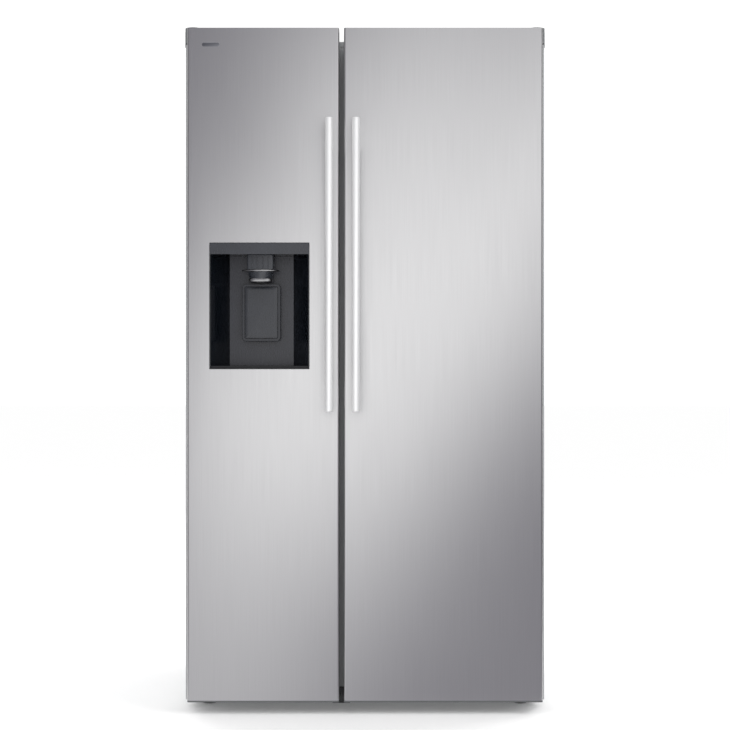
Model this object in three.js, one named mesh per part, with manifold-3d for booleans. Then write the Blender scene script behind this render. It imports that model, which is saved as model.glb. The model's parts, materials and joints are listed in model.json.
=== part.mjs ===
// Side by side refrigerator with a dispenser in its freezer door. Millimetres, +Z up, front towards -Y.
// The origin is on the floor, below the middle of the whole object's box.
import * as THREE from 'three';
import { mergeVertices } from 'three/addons/utils/BufferGeometryUtils.js';
import Module from 'manifold-3d';

const wasm = await Module();
wasm.setup();

// ---------- Driving dimensions ----------
const OVERALL_WIDTH = 912;
const OVERALL_DEPTH = 735;
const DOOR_TOP = 1710;
const DOOR_BOTTOM = 30;
const DOOR_THICKNESS = 65;
const DOOR_HALF_SPAN = 443; // outer edges of the two doors
const DOOR_GAP_X = -58.5; // middle of the gap between the doors
const DOOR_GAP = 12;
const HANDLE_RADIUS = 9.5;
const HANDLE_STANDOFF = 48; // from the door's face to the bar's axis
const HANDLE_BOTTOM = 754.5;
const HANDLE_TOP = 1479.5;
const HANDLE_X = { freezer: -89, fridge: -22.5 };
const CASE_TOP = 1690;
const CASE_BOTTOM = 23;
const SHEET = 1; // steel sheet
const LINER = 2; // moulded plastic wall
const FIT = 0.3; // gap between pieces that touch
const FLANGE = 14; // return flange round the front of the case
const PIVOT_X = 430; // door hinge axes, at -PIVOT_X and +PIVOT_X
const PIVOT_INSET = 35; // hinge axis behind the door's face
const EDGE_RADIUS = 5; // upright edges of a door's skin
const END_CAP = 3; // space for the moulded cap at each end of a door

// ---------- Places worked out from them ----------
const REAR = OVERALL_DEPTH / 2;
const DOOR_FRONT = -REAR + HANDLE_RADIUS + HANDLE_STANDOFF;
const DOOR_BACK = DOOR_FRONT + DOOR_THICKNESS;
const CABINET_FRONT = DOOR_BACK + 11;
const CABINET_BACK = REAR - 11.5;
const CASE_HALF = OVERALL_WIDTH / 2 - 1.5;
const FLANGE_TOP = CASE_TOP - FLANGE - FIT;
const FLANGE_BOTTOM = CASE_BOTTOM + 16;
const FOAM_BOTTOM = CASE_BOTTOM + 30; // leaves room below it for feet and rollers
const PIVOT_Y = DOOR_FRONT + PIVOT_INSET;
const HANDLE_Y = DOOR_FRONT - HANDLE_STANDOFF;
const FREEZER_DOOR = { left: -DOOR_HALF_SPAN, right: DOOR_GAP_X - DOOR_GAP / 2 };
const FRIDGE_DOOR = { left: DOOR_GAP_X + DOOR_GAP / 2, right: DOOR_HALF_SPAN };
const COVER = { top: DOOR_TOP + 4, bottom: CASE_TOP - 14, radius: 21, back: -120, wall: 2.2 };
const HINGE_NOTCH = { top: COVER.bottom - 3, bottom: DOOR_BOTTOM + 15, reach: 23 };
const HINGE_PIN = { radius: 5, grip: 22, thick: 4 }; // grip: how far the pin goes into the door
const GASKET = { width: 18, bottom: HINGE_NOTCH.bottom + 11, top: HINGE_NOTCH.top - 3 };

// ---------- Compartments ----------
const FREEZER = { left: -395, right: -88 };
const FRIDGE = { left: -32, right: 407 };
const CAVITY = { bottom: 100, top: 1628, back: 298, stepFront: 90, stepTop: 332 };
const MACHINE_ROOM = { front: 130, top: 290 };
const RIDGE = { back: -170, width: 15, bottom: 112, top: 1616 }; // door liner ridges that hold the bins
const FREEZER_PLUG = { left: FREEZER.left + 18, right: FREEZER.right - 22 };
const FRIDGE_PLUG = { left: FRIDGE.left + 22, right: FRIDGE.right - 18 };
const AIR_PANEL = { front: 245, top: 1445 }; // panel in front of the evaporator
const SHELF_FRONT = -130;
const SHELF_BACK = { freezer: 240, fridge: 280 };
const SHELF_Z = { freezer: 880, upper: 1410, middle: 1160, lower: 910, drawerCover: 563 };
const DRAWER = { front: -140, wall: 2.5, sideGap: 24 }; // the gap clears the gasket of the open door
const UPPER_DRAWER = { bottom: CAVITY.stepTop + FIT, top: 535 };
const LOWER_DRAWER = { bottom: CAVITY.bottom + FIT, top: 297, back: 80 };
const RUNNER = DRAWER.sideGap + 8; // ledge under a drawer's side
const BIN = { back: -158, wall: 2.5, corner: 6 };
const ICE = { binBottom: 1255, binTop: 1430, makerTop: 1612, front: -148, left: -384, right: -99, back: 170 };
const AUGER = { radius: 36, length: 250, height: 52 }; // its shaft's height above the bin's floor
const EVAPORATOR_FAN = { y: 268, z: 1150, radius: 50, hub: 16 };

// ---------- Dispenser ----------
const DISPENSER = {
  left: -388, right: -138, bottom: 859.5, top: 1175, // opening in the door's face
  backLeft: -347, backRight: -179, back: -215, // rear wall of the recess
  ceiling: 1147, wall: 2.5, clear: 0.5,
};
const CHUTE = { x: -262.5, y: -260.5, front: -288, back: -234, rimBottom: DISPENSER.ceiling - 70 };
const DUCT = { half: 24, front: -284, back: -238 };
const PANEL = { inset: 5, depth: 8 };
const FLAP_PIVOT = { y: -241, z: DISPENSER.ceiling - 9 };

// ---------- Machine room and supports ----------
const ROLLER = { x: 380, y: 300, radius: 21, axle: 4 };
const FOOT = { x: 400, y: -160, thread: 5 };
const FAN = { x: -30, y: 238, z: 160, radius: 62, hub: 18 };
const COMPRESSOR = { x: -230, y: 240, bottom: 44 };
const CONDENSER = { left: 60, right: 330, y: 240, bottom: 62, pitch: 50, rows: 4, tube: 6 };
const INLET = { x: -406, z: 136, width: 34, height: 30 };

// ---------- Finishes ----------
function finish(color, roughness, metalness) {
  return new THREE.MeshStandardMaterial({ color, roughness, metalness });
}
const brushedSteel = finish(0xb9bbbd, 0.35, 1);
const satinBar = finish(0xd8dadc, 0.22, 1);
const paintedCase = finish(0xa9acae, 0.5, 0.3);
const zincPlate = finish(0x9a9da0, 0.45, 1);
const darkPlastic = finish(0x3a3d40, 0.5, 0);
const glossBlack = finish(0x0c0d0f, 0.12, 0);
const greyGloss = finish(0x4b4f54, 0.2, 0);
const chrome = finish(0xdfe2e4, 0.08, 1);
const whiteLiner = finish(0xeef0f0, 0.4, 0);
const foam = finish(0xe3d9a8, 0.9, 0);
const rubber = finish(0x8c8f92, 0.8, 0);
const blackPaint = finish(0x17181a, 0.5, 0.4);
const copper = finish(0xa8643c, 0.35, 1);
const aluminium = finish(0xc2c5c8, 0.4, 1);
const clearPlastic = finish(0xd6e2e6, 0.15, 0);

// ---------- Shape helpers ----------
function box(x0, x1, y0, y1, z0, z1) {
  const geometry = new THREE.BoxGeometry(x1 - x0, y1 - y0, z1 - z0);
  return geometry.translate((x0 + x1) / 2, (y0 + y1) / 2, (z0 + z1) / 2);
}

function outline(points) {
  return new THREE.Shape(points.map(([a, b]) => new THREE.Vector2(a, b)));
}

// A rectangle whose corners are arcs.
function roundedOutline(a0, a1, b0, b1, r) {
  const shape = new THREE.Shape();
  shape.absarc(a1 - r, b0 + r, r, -Math.PI / 2, 0, false);
  shape.absarc(a1 - r, b1 - r, r, 0, Math.PI / 2, false);
  shape.absarc(a0 + r, b1 - r, r, Math.PI / 2, Math.PI, false);
  shape.absarc(a0 + r, b0 + r, r, Math.PI, 1.5 * Math.PI, false);
  return shape;
}

// An outline in XY, raised from z0 to z1.
function alongZ(shape, z0, z1, curveSegments = 6) {
  const geometry = new THREE.ExtrudeGeometry(shape, { depth: z1 - z0, bevelEnabled: false, curveSegments });
  return geometry.translate(0, 0, z0);
}

// An outline in XZ, running from y0 to y1.
function alongY(shape, y0, y1, curveSegments = 6) {
  const geometry = new THREE.ExtrudeGeometry(shape, { depth: y1 - y0, bevelEnabled: false, curveSegments });
  return geometry.rotateX(Math.PI / 2).translate(0, y1, 0);
}

// An outline in YZ, running from x0 to x1.
function alongX(shape, x0, x1, curveSegments = 6) {
  const geometry = new THREE.ExtrudeGeometry(shape, { depth: x1 - x0, bevelEnabled: false, curveSegments });
  return geometry.rotateX(Math.PI / 2).rotateZ(Math.PI / 2).translate(x0, 0, 0);
}

// A cylinder on an axis along 'x', 'y' or 'z', centred at (x, y, z).
function rod(axis, radius, length, x, y, z, sides = 20) {
  const geometry = new THREE.CylinderGeometry(radius, radius, length, sides);
  if (axis === 'x') geometry.rotateZ(Math.PI / 2);
  if (axis === 'z') geometry.rotateX(Math.PI / 2);
  return geometry.translate(x, y, z);
}

function toSolid(geometry) {
  const bare = geometry.clone();
  bare.deleteAttribute('normal');
  bare.deleteAttribute('uv');
  const merged = mergeVertices(bare, 1e-4);
  return new wasm.Manifold(new wasm.Mesh({
    numProp: 3,
    vertProperties: new Float32Array(merged.attributes.position.array),
    triVerts: new Uint32Array(merged.index.array),
  }));
}

function fromSolid(solid) {
  const mesh = solid.getMesh();
  const geometry = new THREE.BufferGeometry();
  geometry.setAttribute('position', new THREE.BufferAttribute(mesh.vertProperties, 3));
  geometry.setIndex(new THREE.BufferAttribute(mesh.triVerts, 1));
  geometry.computeVertexNormals();
  return geometry;
}

// The first shape with the others joined to it.
function join(first, ...others) {
  return fromSolid(others.reduce((sum, part) => sum.add(toSolid(part)), toSolid(first)));
}

// The first shape with the others cut away.
function cut(first, ...others) {
  return fromSolid(others.reduce((rest, part) => rest.subtract(toSolid(part)), toSolid(first)));
}

// The same shape on the other side of the YZ plane.
function mirrored(geometry) {
  const copy = geometry.clone().toNonIndexed().scale(-1, 1, 1);
  const place = copy.attributes.position;
  for (let i = 0; i < place.count; i += 3) {
    const [x, y, z] = [place.getX(i), place.getY(i), place.getZ(i)];
    place.setXYZ(i, place.getX(i + 2), place.getY(i + 2), place.getZ(i + 2));
    place.setXYZ(i + 2, x, y, z);
  }
  return copy;
}

function piece(name, geometry, material) {
  const mesh = new THREE.Mesh(geometry, material);
  mesh.name = name;
  return mesh;
}

// ---------- Cabinet shell ----------
// Wrapper of one bent sheet: two sides and a top, with a return flange round the front.
function outerCase() {
  const bend = 6;
  const outside = roundedOutline(-CASE_HALF, CASE_HALF, CASE_BOTTOM - bend * 2, CASE_TOP, bend);
  const inside = roundedOutline(
    -CASE_HALF + SHEET, CASE_HALF - SHEET, CASE_BOTTOM - bend * 2, CASE_TOP - SHEET, bend - SHEET);
  const frontHole = box(
    -CASE_HALF + FLANGE, CASE_HALF - FLANGE, CABINET_FRONT - 5, CABINET_FRONT + 5, 0, CASE_TOP - FLANGE);
  const below = box(-500, 500, -400, 400, 0, CASE_BOTTOM);
  return cut(
    alongY(outside, CABINET_FRONT, CABINET_BACK),
    alongY(inside, CABINET_FRONT + SHEET, CABINET_BACK + 5),
    frontHole, below);
}

// Side view of a compartment, with the step over the machine room, moved outwards by grow.
function cavityOutline(front, grow) {
  return outline([
    [front, CAVITY.bottom - grow],
    [CAVITY.stepFront + grow, CAVITY.bottom - grow],
    [CAVITY.stepFront + grow, CAVITY.stepTop - 40 - grow * 0.4],
    [CAVITY.stepFront + 40 + grow * 0.4, CAVITY.stepTop - grow],
    [CAVITY.back + grow, CAVITY.stepTop - grow],
    [CAVITY.back + grow, CAVITY.top + grow],
    [front, CAVITY.top + grow],
  ]);
}

// Moulded compartment with a front flange, and ledges given by their height, rear end and depth.
function liner(room, flangeLeft, flangeRight, ledges, extras = []) {
  const tub = alongX(cavityOutline(CABINET_FRONT, LINER), room.left - LINER, room.right + LINER);
  const flange = box(
    flangeLeft, flangeRight, CABINET_FRONT, CABINET_FRONT + LINER, FLANGE_BOTTOM, FLANGE_TOP);
  const hollow = alongX(cavityOutline(CABINET_FRONT - 5, 0), room.left, room.right);
  const [front, thick] = [SHELF_FRONT + 10, 6];
  const rails = ledges.flatMap(([z, back, depth]) => [
    box(room.left - 1, room.left + depth, front, back, z - thick, z),
    box(room.right - depth, room.right + 1, front, back, z - thick, z),
  ]);
  return join(cut(join(tub, flange), hollow), ...rails, ...extras);
}

function cabinetInsulation() {
  const clear = SHEET + FIT;
  const block = box(
    -CASE_HALF + clear, CASE_HALF - clear, CABINET_FRONT + LINER + FIT, CABINET_BACK - 2 * SHEET,
    FOAM_BOTTOM, CASE_TOP - clear - 5);
  const rooms = [FREEZER, FRIDGE].map((room) => alongX(
    cavityOutline(CABINET_FRONT - 5, LINER + FIT), room.left - LINER - FIT, room.right + LINER + FIT));
  const machineRoom = box(-500, 500, MACHINE_ROOM.front, 500, 0, MACHINE_ROOM.top);
  return cut(block, ...rooms, machineRoom);
}

function rearPanel() {
  const half = CASE_HALF - SHEET - FIT;
  return box(
    -half, half, CABINET_BACK - SHEET - FIT, CABINET_BACK - FIT, MACHINE_ROOM.top + 4, CASE_TOP - 8);
}

// Strip between the two compartments, seen through the gap between the doors.
function mullionCover() {
  const left = FREEZER.right + 4 + FIT * 2;
  const right = FRIDGE.left - 4 - FIT * 2;
  return box(left, right, CABINET_FRONT, CABINET_FRONT + LINER, FLANGE_BOTTOM, FLANGE_TOP);
}

// Front rail, floor pan of the machine room, side rails, axle ears and the fan's shroud.
function baseFrame() {
  const half = CASE_HALF - SHEET - FIT;
  const floorZ = CASE_BOTTOM + 2 - FIT;
  const faceHalf = CASE_HALF - FLANGE - FIT;
  const rail = box(-half, half, CABINET_FRONT + SHEET + FIT, -90, floorZ - 4, floorZ);
  const kickFace = box(
    -faceHalf, faceHalf, CABINET_FRONT, CABINET_FRONT + LINER, floorZ - 4, FLANGE_BOTTOM - FIT);
  const pan = box(-half, half, -92, CABINET_BACK - 4, floorZ - 2, floorZ);
  const sides = [-1, 1];
  const wheelWells = sides.map((side) => box(
    side * ROLLER.x - 16, side * ROLLER.x + 16, ROLLER.y - 26, ROLLER.y + 26, 0, 100));
  const ears = sides.flatMap((side) => sides.map((edge) => {
    const at = side * ROLLER.x + edge * 14;
    return box(at - 3, at + 3, ROLLER.y - 14, ROLLER.y + 14, 12, floorZ + 8);
  }));
  const axleHoles = sides.map((side) => rod(
    'x', ROLLER.axle + 0.5, 60, side * ROLLER.x, ROLLER.y, ROLLER.radius, 12));
  const shroud = cut(
    box(FAN.x - 1.5, FAN.x + 1.5, MACHINE_ROOM.front + 12, CABINET_BACK - 8,
      floorZ - 1, MACHINE_ROOM.top - 8),
    rod('x', FAN.radius + 6, 20, FAN.x, FAN.y, FAN.z, 28));
  const strut = box(FAN.x + 14, FAN.x + 20, FAN.y - 4, FAN.y + 4, floorZ - 1, FAN.z + 8);
  const tray = cut(join(rail, kickFace, pan), ...wheelWells);
  const nuts = sides.map((side) => rod('z', 11, 22, side * FOOT.x, FOOT.y, floorZ + 8, 16));
  const nutHoles = sides.map((side) => rod('z', FOOT.thread + 0.5, 80, side * FOOT.x, FOOT.y, floorZ, 16));
  return cut(join(tray, ...ears, ...nuts, shroud, strut), ...axleHoles, ...nutHoles);
}

// ---------- What the cabinet stands on ----------
// Levelling foot: a disc with a collar for the spanner, on a stem that screws into the base frame.
function levellingFoot() {
  const stem = FOOT.thread;
  const section = [
    [0, 0], [19, 0], [21, 2], [21, 6], [16, 9], [9, 10], [9, 14], [stem, 14], [stem, 44], [0, 44]];
  const lathe = new THREE.LatheGeometry(section.map(([r, z]) => new THREE.Vector2(r, z)), 20);
  return lathe.rotateX(Math.PI / 2);
}

// Roller on its own axle, along the X axis.
function roller() {
  const { radius, axle } = ROLLER;
  const [half, axleHalf] = [9, 13.6];
  const section = [
    [0, -axleHalf], [axle, -axleHalf], [axle, -half], [radius - 3, -half], [radius, 2 - half],
    [radius, half - 2], [radius - 3, half], [axle, half], [axle, axleHalf], [0, axleHalf]];
  const lathe = new THREE.LatheGeometry(section.map(([r, z]) => new THREE.Vector2(r, z)), 24);
  return lathe.rotateZ(-Math.PI / 2);
}

// ---------- Machine room ----------
// Welded steel shell on a foot plate with four rubber mounts and a box for its electrics.
function compressor() {
  const { x, y, bottom } = COMPRESSOR;
  const section = [[0, 0], [58, 0], [74, 14], [78, 40], [80, 62], [84, 64], [84, 70], [78, 72], [74, 100],
    [58, 128], [34, 142], [0, 146]];
  const shell = new THREE.LatheGeometry(section.map(([r, z]) => new THREE.Vector2(r, z)), 28);
  shell.rotateX(Math.PI / 2).scale(1.1, 0.9, 1).translate(x, y, bottom);
  const plate = box(x - 100, x + 100, y - 60, y + 60, bottom - 8, bottom - 5);
  const post = rod('z', 50, 12, x, y, bottom - 4, 20);
  const mounts = [-88, 88].flatMap((dx) => [-48, 48].map(
    (dy) => rod('z', 9, 13, x + dx, y + dy, bottom - 12, 10)));
  const electrics = box(x - 105, x - 60, y - 25, y + 25, bottom + 16, bottom + 66);
  return join(shell, post, plate, ...mounts, electrics);
}

// One tube bent to and fro in flat layers, run as a path through round bends.
function serpentinePath(x0, x1, y, z0, pitch, rows) {
  const path = new THREE.CurvePath();
  const r = pitch / 2;
  for (let row = 0; row < rows; row += 1) {
    const z = z0 + row * pitch;
    const [from, to] = row % 2 ? [x1, x0] : [x0, x1];
    path.add(new THREE.LineCurve3(new THREE.Vector3(from, y, z), new THREE.Vector3(to, y, z)));
    if (row === rows - 1) break;
    const out = row % 2 ? -1 : 1;
    for (const [a, b] of [[0, 1], [1, 2]]) {
      const at = (quarter) => new THREE.Vector3(
        to + out * r * Math.sin(quarter * Math.PI / 2), y, z + r - r * Math.cos(quarter * Math.PI / 2));
      const corner = new THREE.Vector3(to + out * r, y, z + a * pitch);
      path.add(new THREE.QuadraticBezierCurve3(at(a), corner, at(b)));
    }
  }
  return path;
}

function tubeAlong(path, radius, steps, sides = 8) {
  const ring = new THREE.Shape();
  ring.absarc(0, 0, radius, 0, 2 * Math.PI, false);
  return new THREE.ExtrudeGeometry(ring, {
    steps, bevelEnabled: false, extrudePath: path, curveSegments: sides / 2,
  });
}

function condenserCoil() {
  const { left, right, y, bottom, pitch, rows, tube } = CONDENSER;
  const coil = tubeAlong(serpentinePath(left, right, y, bottom, pitch, rows), tube, 40, 6);
  const plates = [left + 30, (left + right) / 2, right - 30].map(
    (x) => box(x, x + 2, y - 12, y + 12, bottom - 20, bottom + rows * pitch - 26));
  return join(coil, ...plates);
}

// Fan about the X axis at the origin: hub with blades.
function axialFan(radius, hub, blades, depth) {
  const core = rod('x', hub, depth, 0, 0, 0, 16);
  const vanes = Array.from({ length: blades }, (_, i) => {
    const vane = new THREE.BoxGeometry(2, radius * 0.62, radius - hub + 4);
    return vane.rotateZ(0.5).translate(0, 0, (radius + hub - 4) / 2).rotateX(i * 2 * Math.PI / blades);
  });
  return join(core, ...vanes);
}

// Vented rear cover of the machine room with two spacers that keep the wall away.
function compressorCover() {
  const front = CABINET_BACK - FIT - SHEET;
  const back = front + 2.5;
  const plate = box(-CASE_HALF + 2, CASE_HALF - 2, front, back, CASE_BOTTOM + 6, MACHINE_ROOM.top + 2);
  const slots = [];
  for (const x of [-300, -100, 100, 300]) {
    for (let row = 0; row < 6; row += 1) {
      const z = CASE_BOTTOM + 67 + row * 28;
      slots.push(box(x - 70, x + 70, front - 5, back + 5, z, z + 9));
    }
  }
  const [halfWide, halfHigh] = [INLET.width / 2 + 1, INLET.height / 2 + 1];
  const inletHole = box(
    INLET.x - halfWide, INLET.x + halfWide, front - 5, back + 5, INLET.z - halfHigh, INLET.z + halfHigh);
  const spacers = [-410, 410].map((x) => box(x - 12, x + 12, back - 1, REAR, 215, 265));
  return join(cut(plate, ...slots, inletHole), ...spacers);
}

// Socket for a mains lead: a body through the rear cover, with a lip outside it.
function powerInlet() {
  const back = CABINET_BACK + 5;
  const { x, z, width, height } = INLET;
  const shape = (grow, y0, y1) => box(
    x - width / 2 - grow, x + width / 2 + grow, y0, y1, z - height / 2 - grow, z + height / 2 + grow);
  const body = shape(0, CABINET_BACK - 30, back - 2);
  const lip = shape(5, CABINET_BACK + 1.5, back);
  return cut(join(body, lip), shape(-4.5, CABINET_BACK - 14, back + 5));
}

// ---------- Cold side ----------
function freezerAirPanel() {
  const { front, top } = AIR_PANEL;
  const plate = box(FREEZER.left + 2, FREEZER.right - 2, front, front + 3, CAVITY.stepTop + 8, top);
  const middle = (FREEZER.left + FREEZER.right) / 2;
  const slotRow = (half, z, high) => box(middle - half, middle + half, front - 5, front + 8, z, z + high);
  const fanSlots = [0, 1, 2, 3, 4].map((row) => slotRow(45, EVAPORATOR_FAN.z - 38 + row * 17, 8));
  const returnSlots = [0, 1, 2].map((row) => slotRow(110, CAVITY.stepTop + 24 + row * 16, 7));
  return cut(plate, ...fanSlots, ...returnSlots);
}

function evaporator() {
  const margin = 22;
  const [left, right] = [FREEZER.left + margin, FREEZER.right - margin];
  const [bottom, pitch, rows] = [640, 70, 5];
  const tube = tubeAlong(serpentinePath(left + 34, right - 34, 271, bottom + 35, pitch, rows), 5, 44, 6);
  const fins = Array.from({ length: 6 }, (_, i) => {
    const x = left + 36 + i * ((right - left - 74) / 5);
    return box(x, x + 2, 254, 288, bottom, bottom + rows * pitch);
  });
  return join(tube, ...fins);
}

// Mould with a row of open pockets and the drive box that turns the cubes out.
function iceMaker() {
  const [front, back] = [-110, 235];
  const body = box(ICE.left, ICE.right, front, back, ICE.binTop + 75, ICE.makerTop);
  const pockets = Array.from({ length: 7 }, (_, i) => {
    const y = front + 58 + i * 36;
    return box(ICE.left + 90, ICE.right - 60, y, y + 30, ICE.makerTop - 70, ICE.makerTop + 10);
  });
  const drive = box(ICE.left + 10, ICE.left + 70, front, front + 110, ICE.binTop + 40, ICE.binTop + 80);
  return cut(join(body, drive), ...pockets);
}

// Open bin with a spout at its front that faces the duct in the door.
function iceBin() {
  const { binBottom, binTop, front, left, right, back } = ICE;
  const wall = 3;
  const outside = box(left, right, front, back, binBottom, binTop);
  const hollow = box(left + wall, right - wall, front + wall, back - wall, binBottom + wall, binTop + 5);
  const spout = box(CHUTE.x - 40, CHUTE.x + 40, front - 14, front + 1, binBottom, binBottom + 68);
  const mouth = box(CHUTE.x - 36, CHUTE.x + 36, front - 20, front + 6, binBottom + wall, binBottom + 64);
  const shaftHole = rod('y', 9, 20, CHUTE.x, back, binBottom + AUGER.height, 16);
  return cut(join(outside, spout), hollow, mouth, shaftHole);
}

// Coiled pusher on the Y axis at the origin, with its drive hub behind.
function iceAuger() {
  const { radius, length } = AUGER;
  const turns = 5;
  class Coil extends THREE.Curve {
    getPoint(t, target = new THREE.Vector3()) {
      const angle = t * turns * 2 * Math.PI;
      return target.set(radius * Math.cos(angle), t * length, radius * Math.sin(angle));
    }
  }
  const wire = tubeAlong(new Coil(), 4, 60, 6);
  const hub = rod('y', 42, 8, 0, length + 2, 0, 24);
  const shaft = rod('y', 7, 34, 0, length + 20, 0, 16);
  return join(wire, hub, shaft);
}

// Glass shelf with a moulded rim, as one solid.
function shelf(room, z, back) {
  const [left, right] = [room.left + 1.5, room.right - 1.5];
  const plate = box(left, right, SHELF_FRONT + 4, back, z, z + 5);
  const rim = box(left, right, SHELF_FRONT, SHELF_FRONT + 12, z - 8, z + 8);
  const notches = [left - 1, right - 11].map((x) => box(
    x, x + 12, SHELF_FRONT + 8, SHELF_FRONT + 20, z - 10, z - FIT));
  return cut(join(plate, rim), ...notches);
}

// Open drawer whose front is wider than its tray and has a finger slot.
function drawer(room, { bottom, top }, back) {
  const { front, wall, sideGap } = DRAWER;
  const [left, right] = [room.left + sideGap, room.right - sideGap];
  const tray = box(left, right, front + 8, back, bottom, top);
  const face = box(left - 4, right + 4, front, front + 8.5, bottom, top + 6);
  const hollow = box(left + wall, right - wall, front + 10, back - wall, bottom + wall, top + 20);
  const middle = (left + right) / 2;
  const grip = box(middle - 70, middle + 70, front - 2, front + 5, top - 26, top - 8);
  return cut(join(tray, face), hollow, grip);
}

// ---------- Doors ----------
// Round cup over the top hinge's knuckle, a neck back to the cabinet, a cap on its top and a lip at its side.
function hingeCover() {
  const { top, bottom, radius, back, wall } = COVER;
  const outer = -OVERALL_WIDTH / 2;
  const inner = -PIVOT_X + 60;
  const [neckLeft, neckRight] = [-PIVOT_X - 12, -PIVOT_X + 14];
  const cup = rod('z', radius, top - bottom, -PIVOT_X, PIVOT_Y, (top + bottom) / 2, 32);
  const neck = box(neckLeft, neckRight, PIVOT_Y, CABINET_FRONT - 2, bottom + 4, top);
  const cap = alongZ(roundedOutline(outer, inner, CABINET_FRONT - 3, back, 3), CASE_TOP + FIT, top, 3);
  const lip = box(outer, -CASE_HALF - FIT, CABINET_FRONT, back - 3, bottom, CASE_TOP + 1);
  const cupHollow = rod('z', radius - wall, 60, -PIVOT_X, PIVOT_Y, top - wall - 30, 28);
  const neckHollow = box(
    neckLeft + wall, neckRight - wall, PIVOT_Y, CABINET_FRONT + 2, bottom - 5, top - wall);
  const capHollow = box(
    -CASE_HALF + wall, inner - wall, CABINET_FRONT - 3 + wall, back - wall, CASE_TOP - 5, top - wall);
  return cut(join(cup, neck, cap, lip), cupHollow, neckHollow, capHollow);
}

// A rod along Z at the left door's hinge axis, from one height to another.
function onPivot(radius, bottom, top, sides) {
  return rod('z', radius, top - bottom, -PIVOT_X, PIVOT_Y, (top + bottom) / 2, sides);
}

function topHinge() {
  const { radius, grip, thick } = HINGE_PIN;
  const plateZ = CASE_TOP + 2;
  const plate = box(
    -PIVOT_X - 8, -PIVOT_X + 50, CABINET_FRONT + 4, COVER.back - 10, CASE_TOP + FIT, plateZ + thick);
  const arm = box(-PIVOT_X - 8, -PIVOT_X + 10, PIVOT_Y, CABINET_FRONT + 6, plateZ, plateZ + thick);
  const eye = onPivot(15, plateZ, plateZ + thick, 24);
  const pin = onPivot(radius, HINGE_NOTCH.top - grip, plateZ + 10, 16);
  const screws = [-205, -150].map((y) => rod('z', 6, 4, -PIVOT_X + 20, y, plateZ + 5, 8));
  return join(plate, arm, eye, pin, ...screws);
}

function bottomHinge() {
  const { radius, thick } = HINGE_PIN;
  const leafZ = DOOR_BOTTOM + 2;
  const bushTop = HINGE_NOTCH.bottom - FIT;
  const fixing = box(
    -PIVOT_X - 15, -PIVOT_X + 40, CABINET_FRONT - FIT - 3, CABINET_FRONT - FIT,
    CASE_BOTTOM + 2, CASE_BOTTOM + 24);
  const arm = box(-PIVOT_X - 8, -PIVOT_X + 12, PIVOT_Y, CABINET_FRONT - 2, leafZ, leafZ + thick);
  const eye = onPivot(15, leafZ, leafZ + thick, 24);
  const bush = onPivot(9, leafZ + 2, bushTop, 20);
  const pin = onPivot(radius, bushTop - 10, HINGE_NOTCH.bottom + 24, 16);
  return join(fixing, arm, eye, bush, pin);
}

// Corner of a door cut away for its hinge, at the top and at the bottom.
function hingeNotches(side) {
  const inner = side * (PIVOT_X - HINGE_NOTCH.reach);
  const outer = side * 500;
  const [x0, x1] = [Math.min(inner, outer), Math.max(inner, outer)];
  const front = PIVOT_Y - HINGE_NOTCH.reach;
  return [
    box(x0, x1, front, 0, HINGE_NOTCH.top, DOOR_TOP + 50),
    box(x0, x1, front, 0, 0, HINGE_NOTCH.bottom),
  ];
}

// Plan of a door's sheet skin, moved inwards by inset: flat face, rounded vertical edges, straight sides.
function doorPlan(door, inset, back) {
  const r = EDGE_RADIUS - inset;
  const [left, right, front] = [door.left + inset, door.right - inset, DOOR_FRONT + inset];
  const shape = new THREE.Shape();
  shape.moveTo(left, back);
  shape.lineTo(left, front + r);
  shape.absarc(left + r, front + r, r, Math.PI, 1.5 * Math.PI, false);
  shape.absarc(right - r, front + r, r, 1.5 * Math.PI, 2 * Math.PI, false);
  shape.lineTo(right, back);
  return shape;
}

function doorSkin(door, side, openings = []) {
  return cut(
    alongZ(doorPlan(door, 0, DOOR_BACK - 2), DOOR_BOTTOM, DOOR_TOP),
    alongZ(doorPlan(door, SHEET, DOOR_BACK + 5), DOOR_BOTTOM - 5, DOOR_TOP + 5),
    ...hingeNotches(side), ...openings);
}

// Foam slab with the moulded inner liner: two upright ridges that hold the bins, and cross ribs.
function doorCore(door, side, plug, extras, cuts) {
  const slab = alongZ(doorPlan(door, SHEET + FIT, DOOR_BACK), DOOR_BOTTOM + END_CAP, DOOR_TOP - END_CAP);
  const ridges = [plug.left, plug.right - RIDGE.width].map((x) => box(
    x, x + RIDGE.width, DOOR_BACK - 1, RIDGE.back, RIDGE.bottom, RIDGE.top));
  const ribs = [RIDGE.bottom, RIDGE.top - 20].map((z) => box(
    plug.left, plug.right, DOOR_BACK - 1, RIDGE.back + 20, z, z + 20));
  const pinHoles = [HINGE_NOTCH.top, HINGE_NOTCH.bottom].map((z) => rod(
    'z', HINGE_PIN.radius + FIT, 60, side * PIVOT_X, PIVOT_Y, z, 16));
  return cut(join(slab, ...ridges, ...ribs, ...extras), ...hingeNotches(side), ...pinHoles, ...cuts);
}

function gasket(left, right) {
  const { width, bottom, top } = GASKET;
  const [front, back] = [DOOR_BACK + FIT, CABINET_FRONT - FIT];
  return cut(
    alongY(roundedOutline(left, right, bottom, top, 6), front, back, 3),
    box(left + width, right - width, front - 5, back + 5, bottom + width, top - width));
}

function handleBar(x) {
  const chamfer = 1.6;
  const length = HANDLE_TOP - HANDLE_BOTTOM;
  const section = [
    [0, 0], [HANDLE_RADIUS - chamfer, 0], [HANDLE_RADIUS, chamfer],
    [HANDLE_RADIUS, length - chamfer], [HANDLE_RADIUS - chamfer, length], [0, length]];
  const lathe = new THREE.LatheGeometry(section.map(([r, z]) => new THREE.Vector2(r, z)), 32);
  return lathe.rotateX(Math.PI / 2).translate(x, HANDLE_Y, HANDLE_BOTTOM);
}

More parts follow.
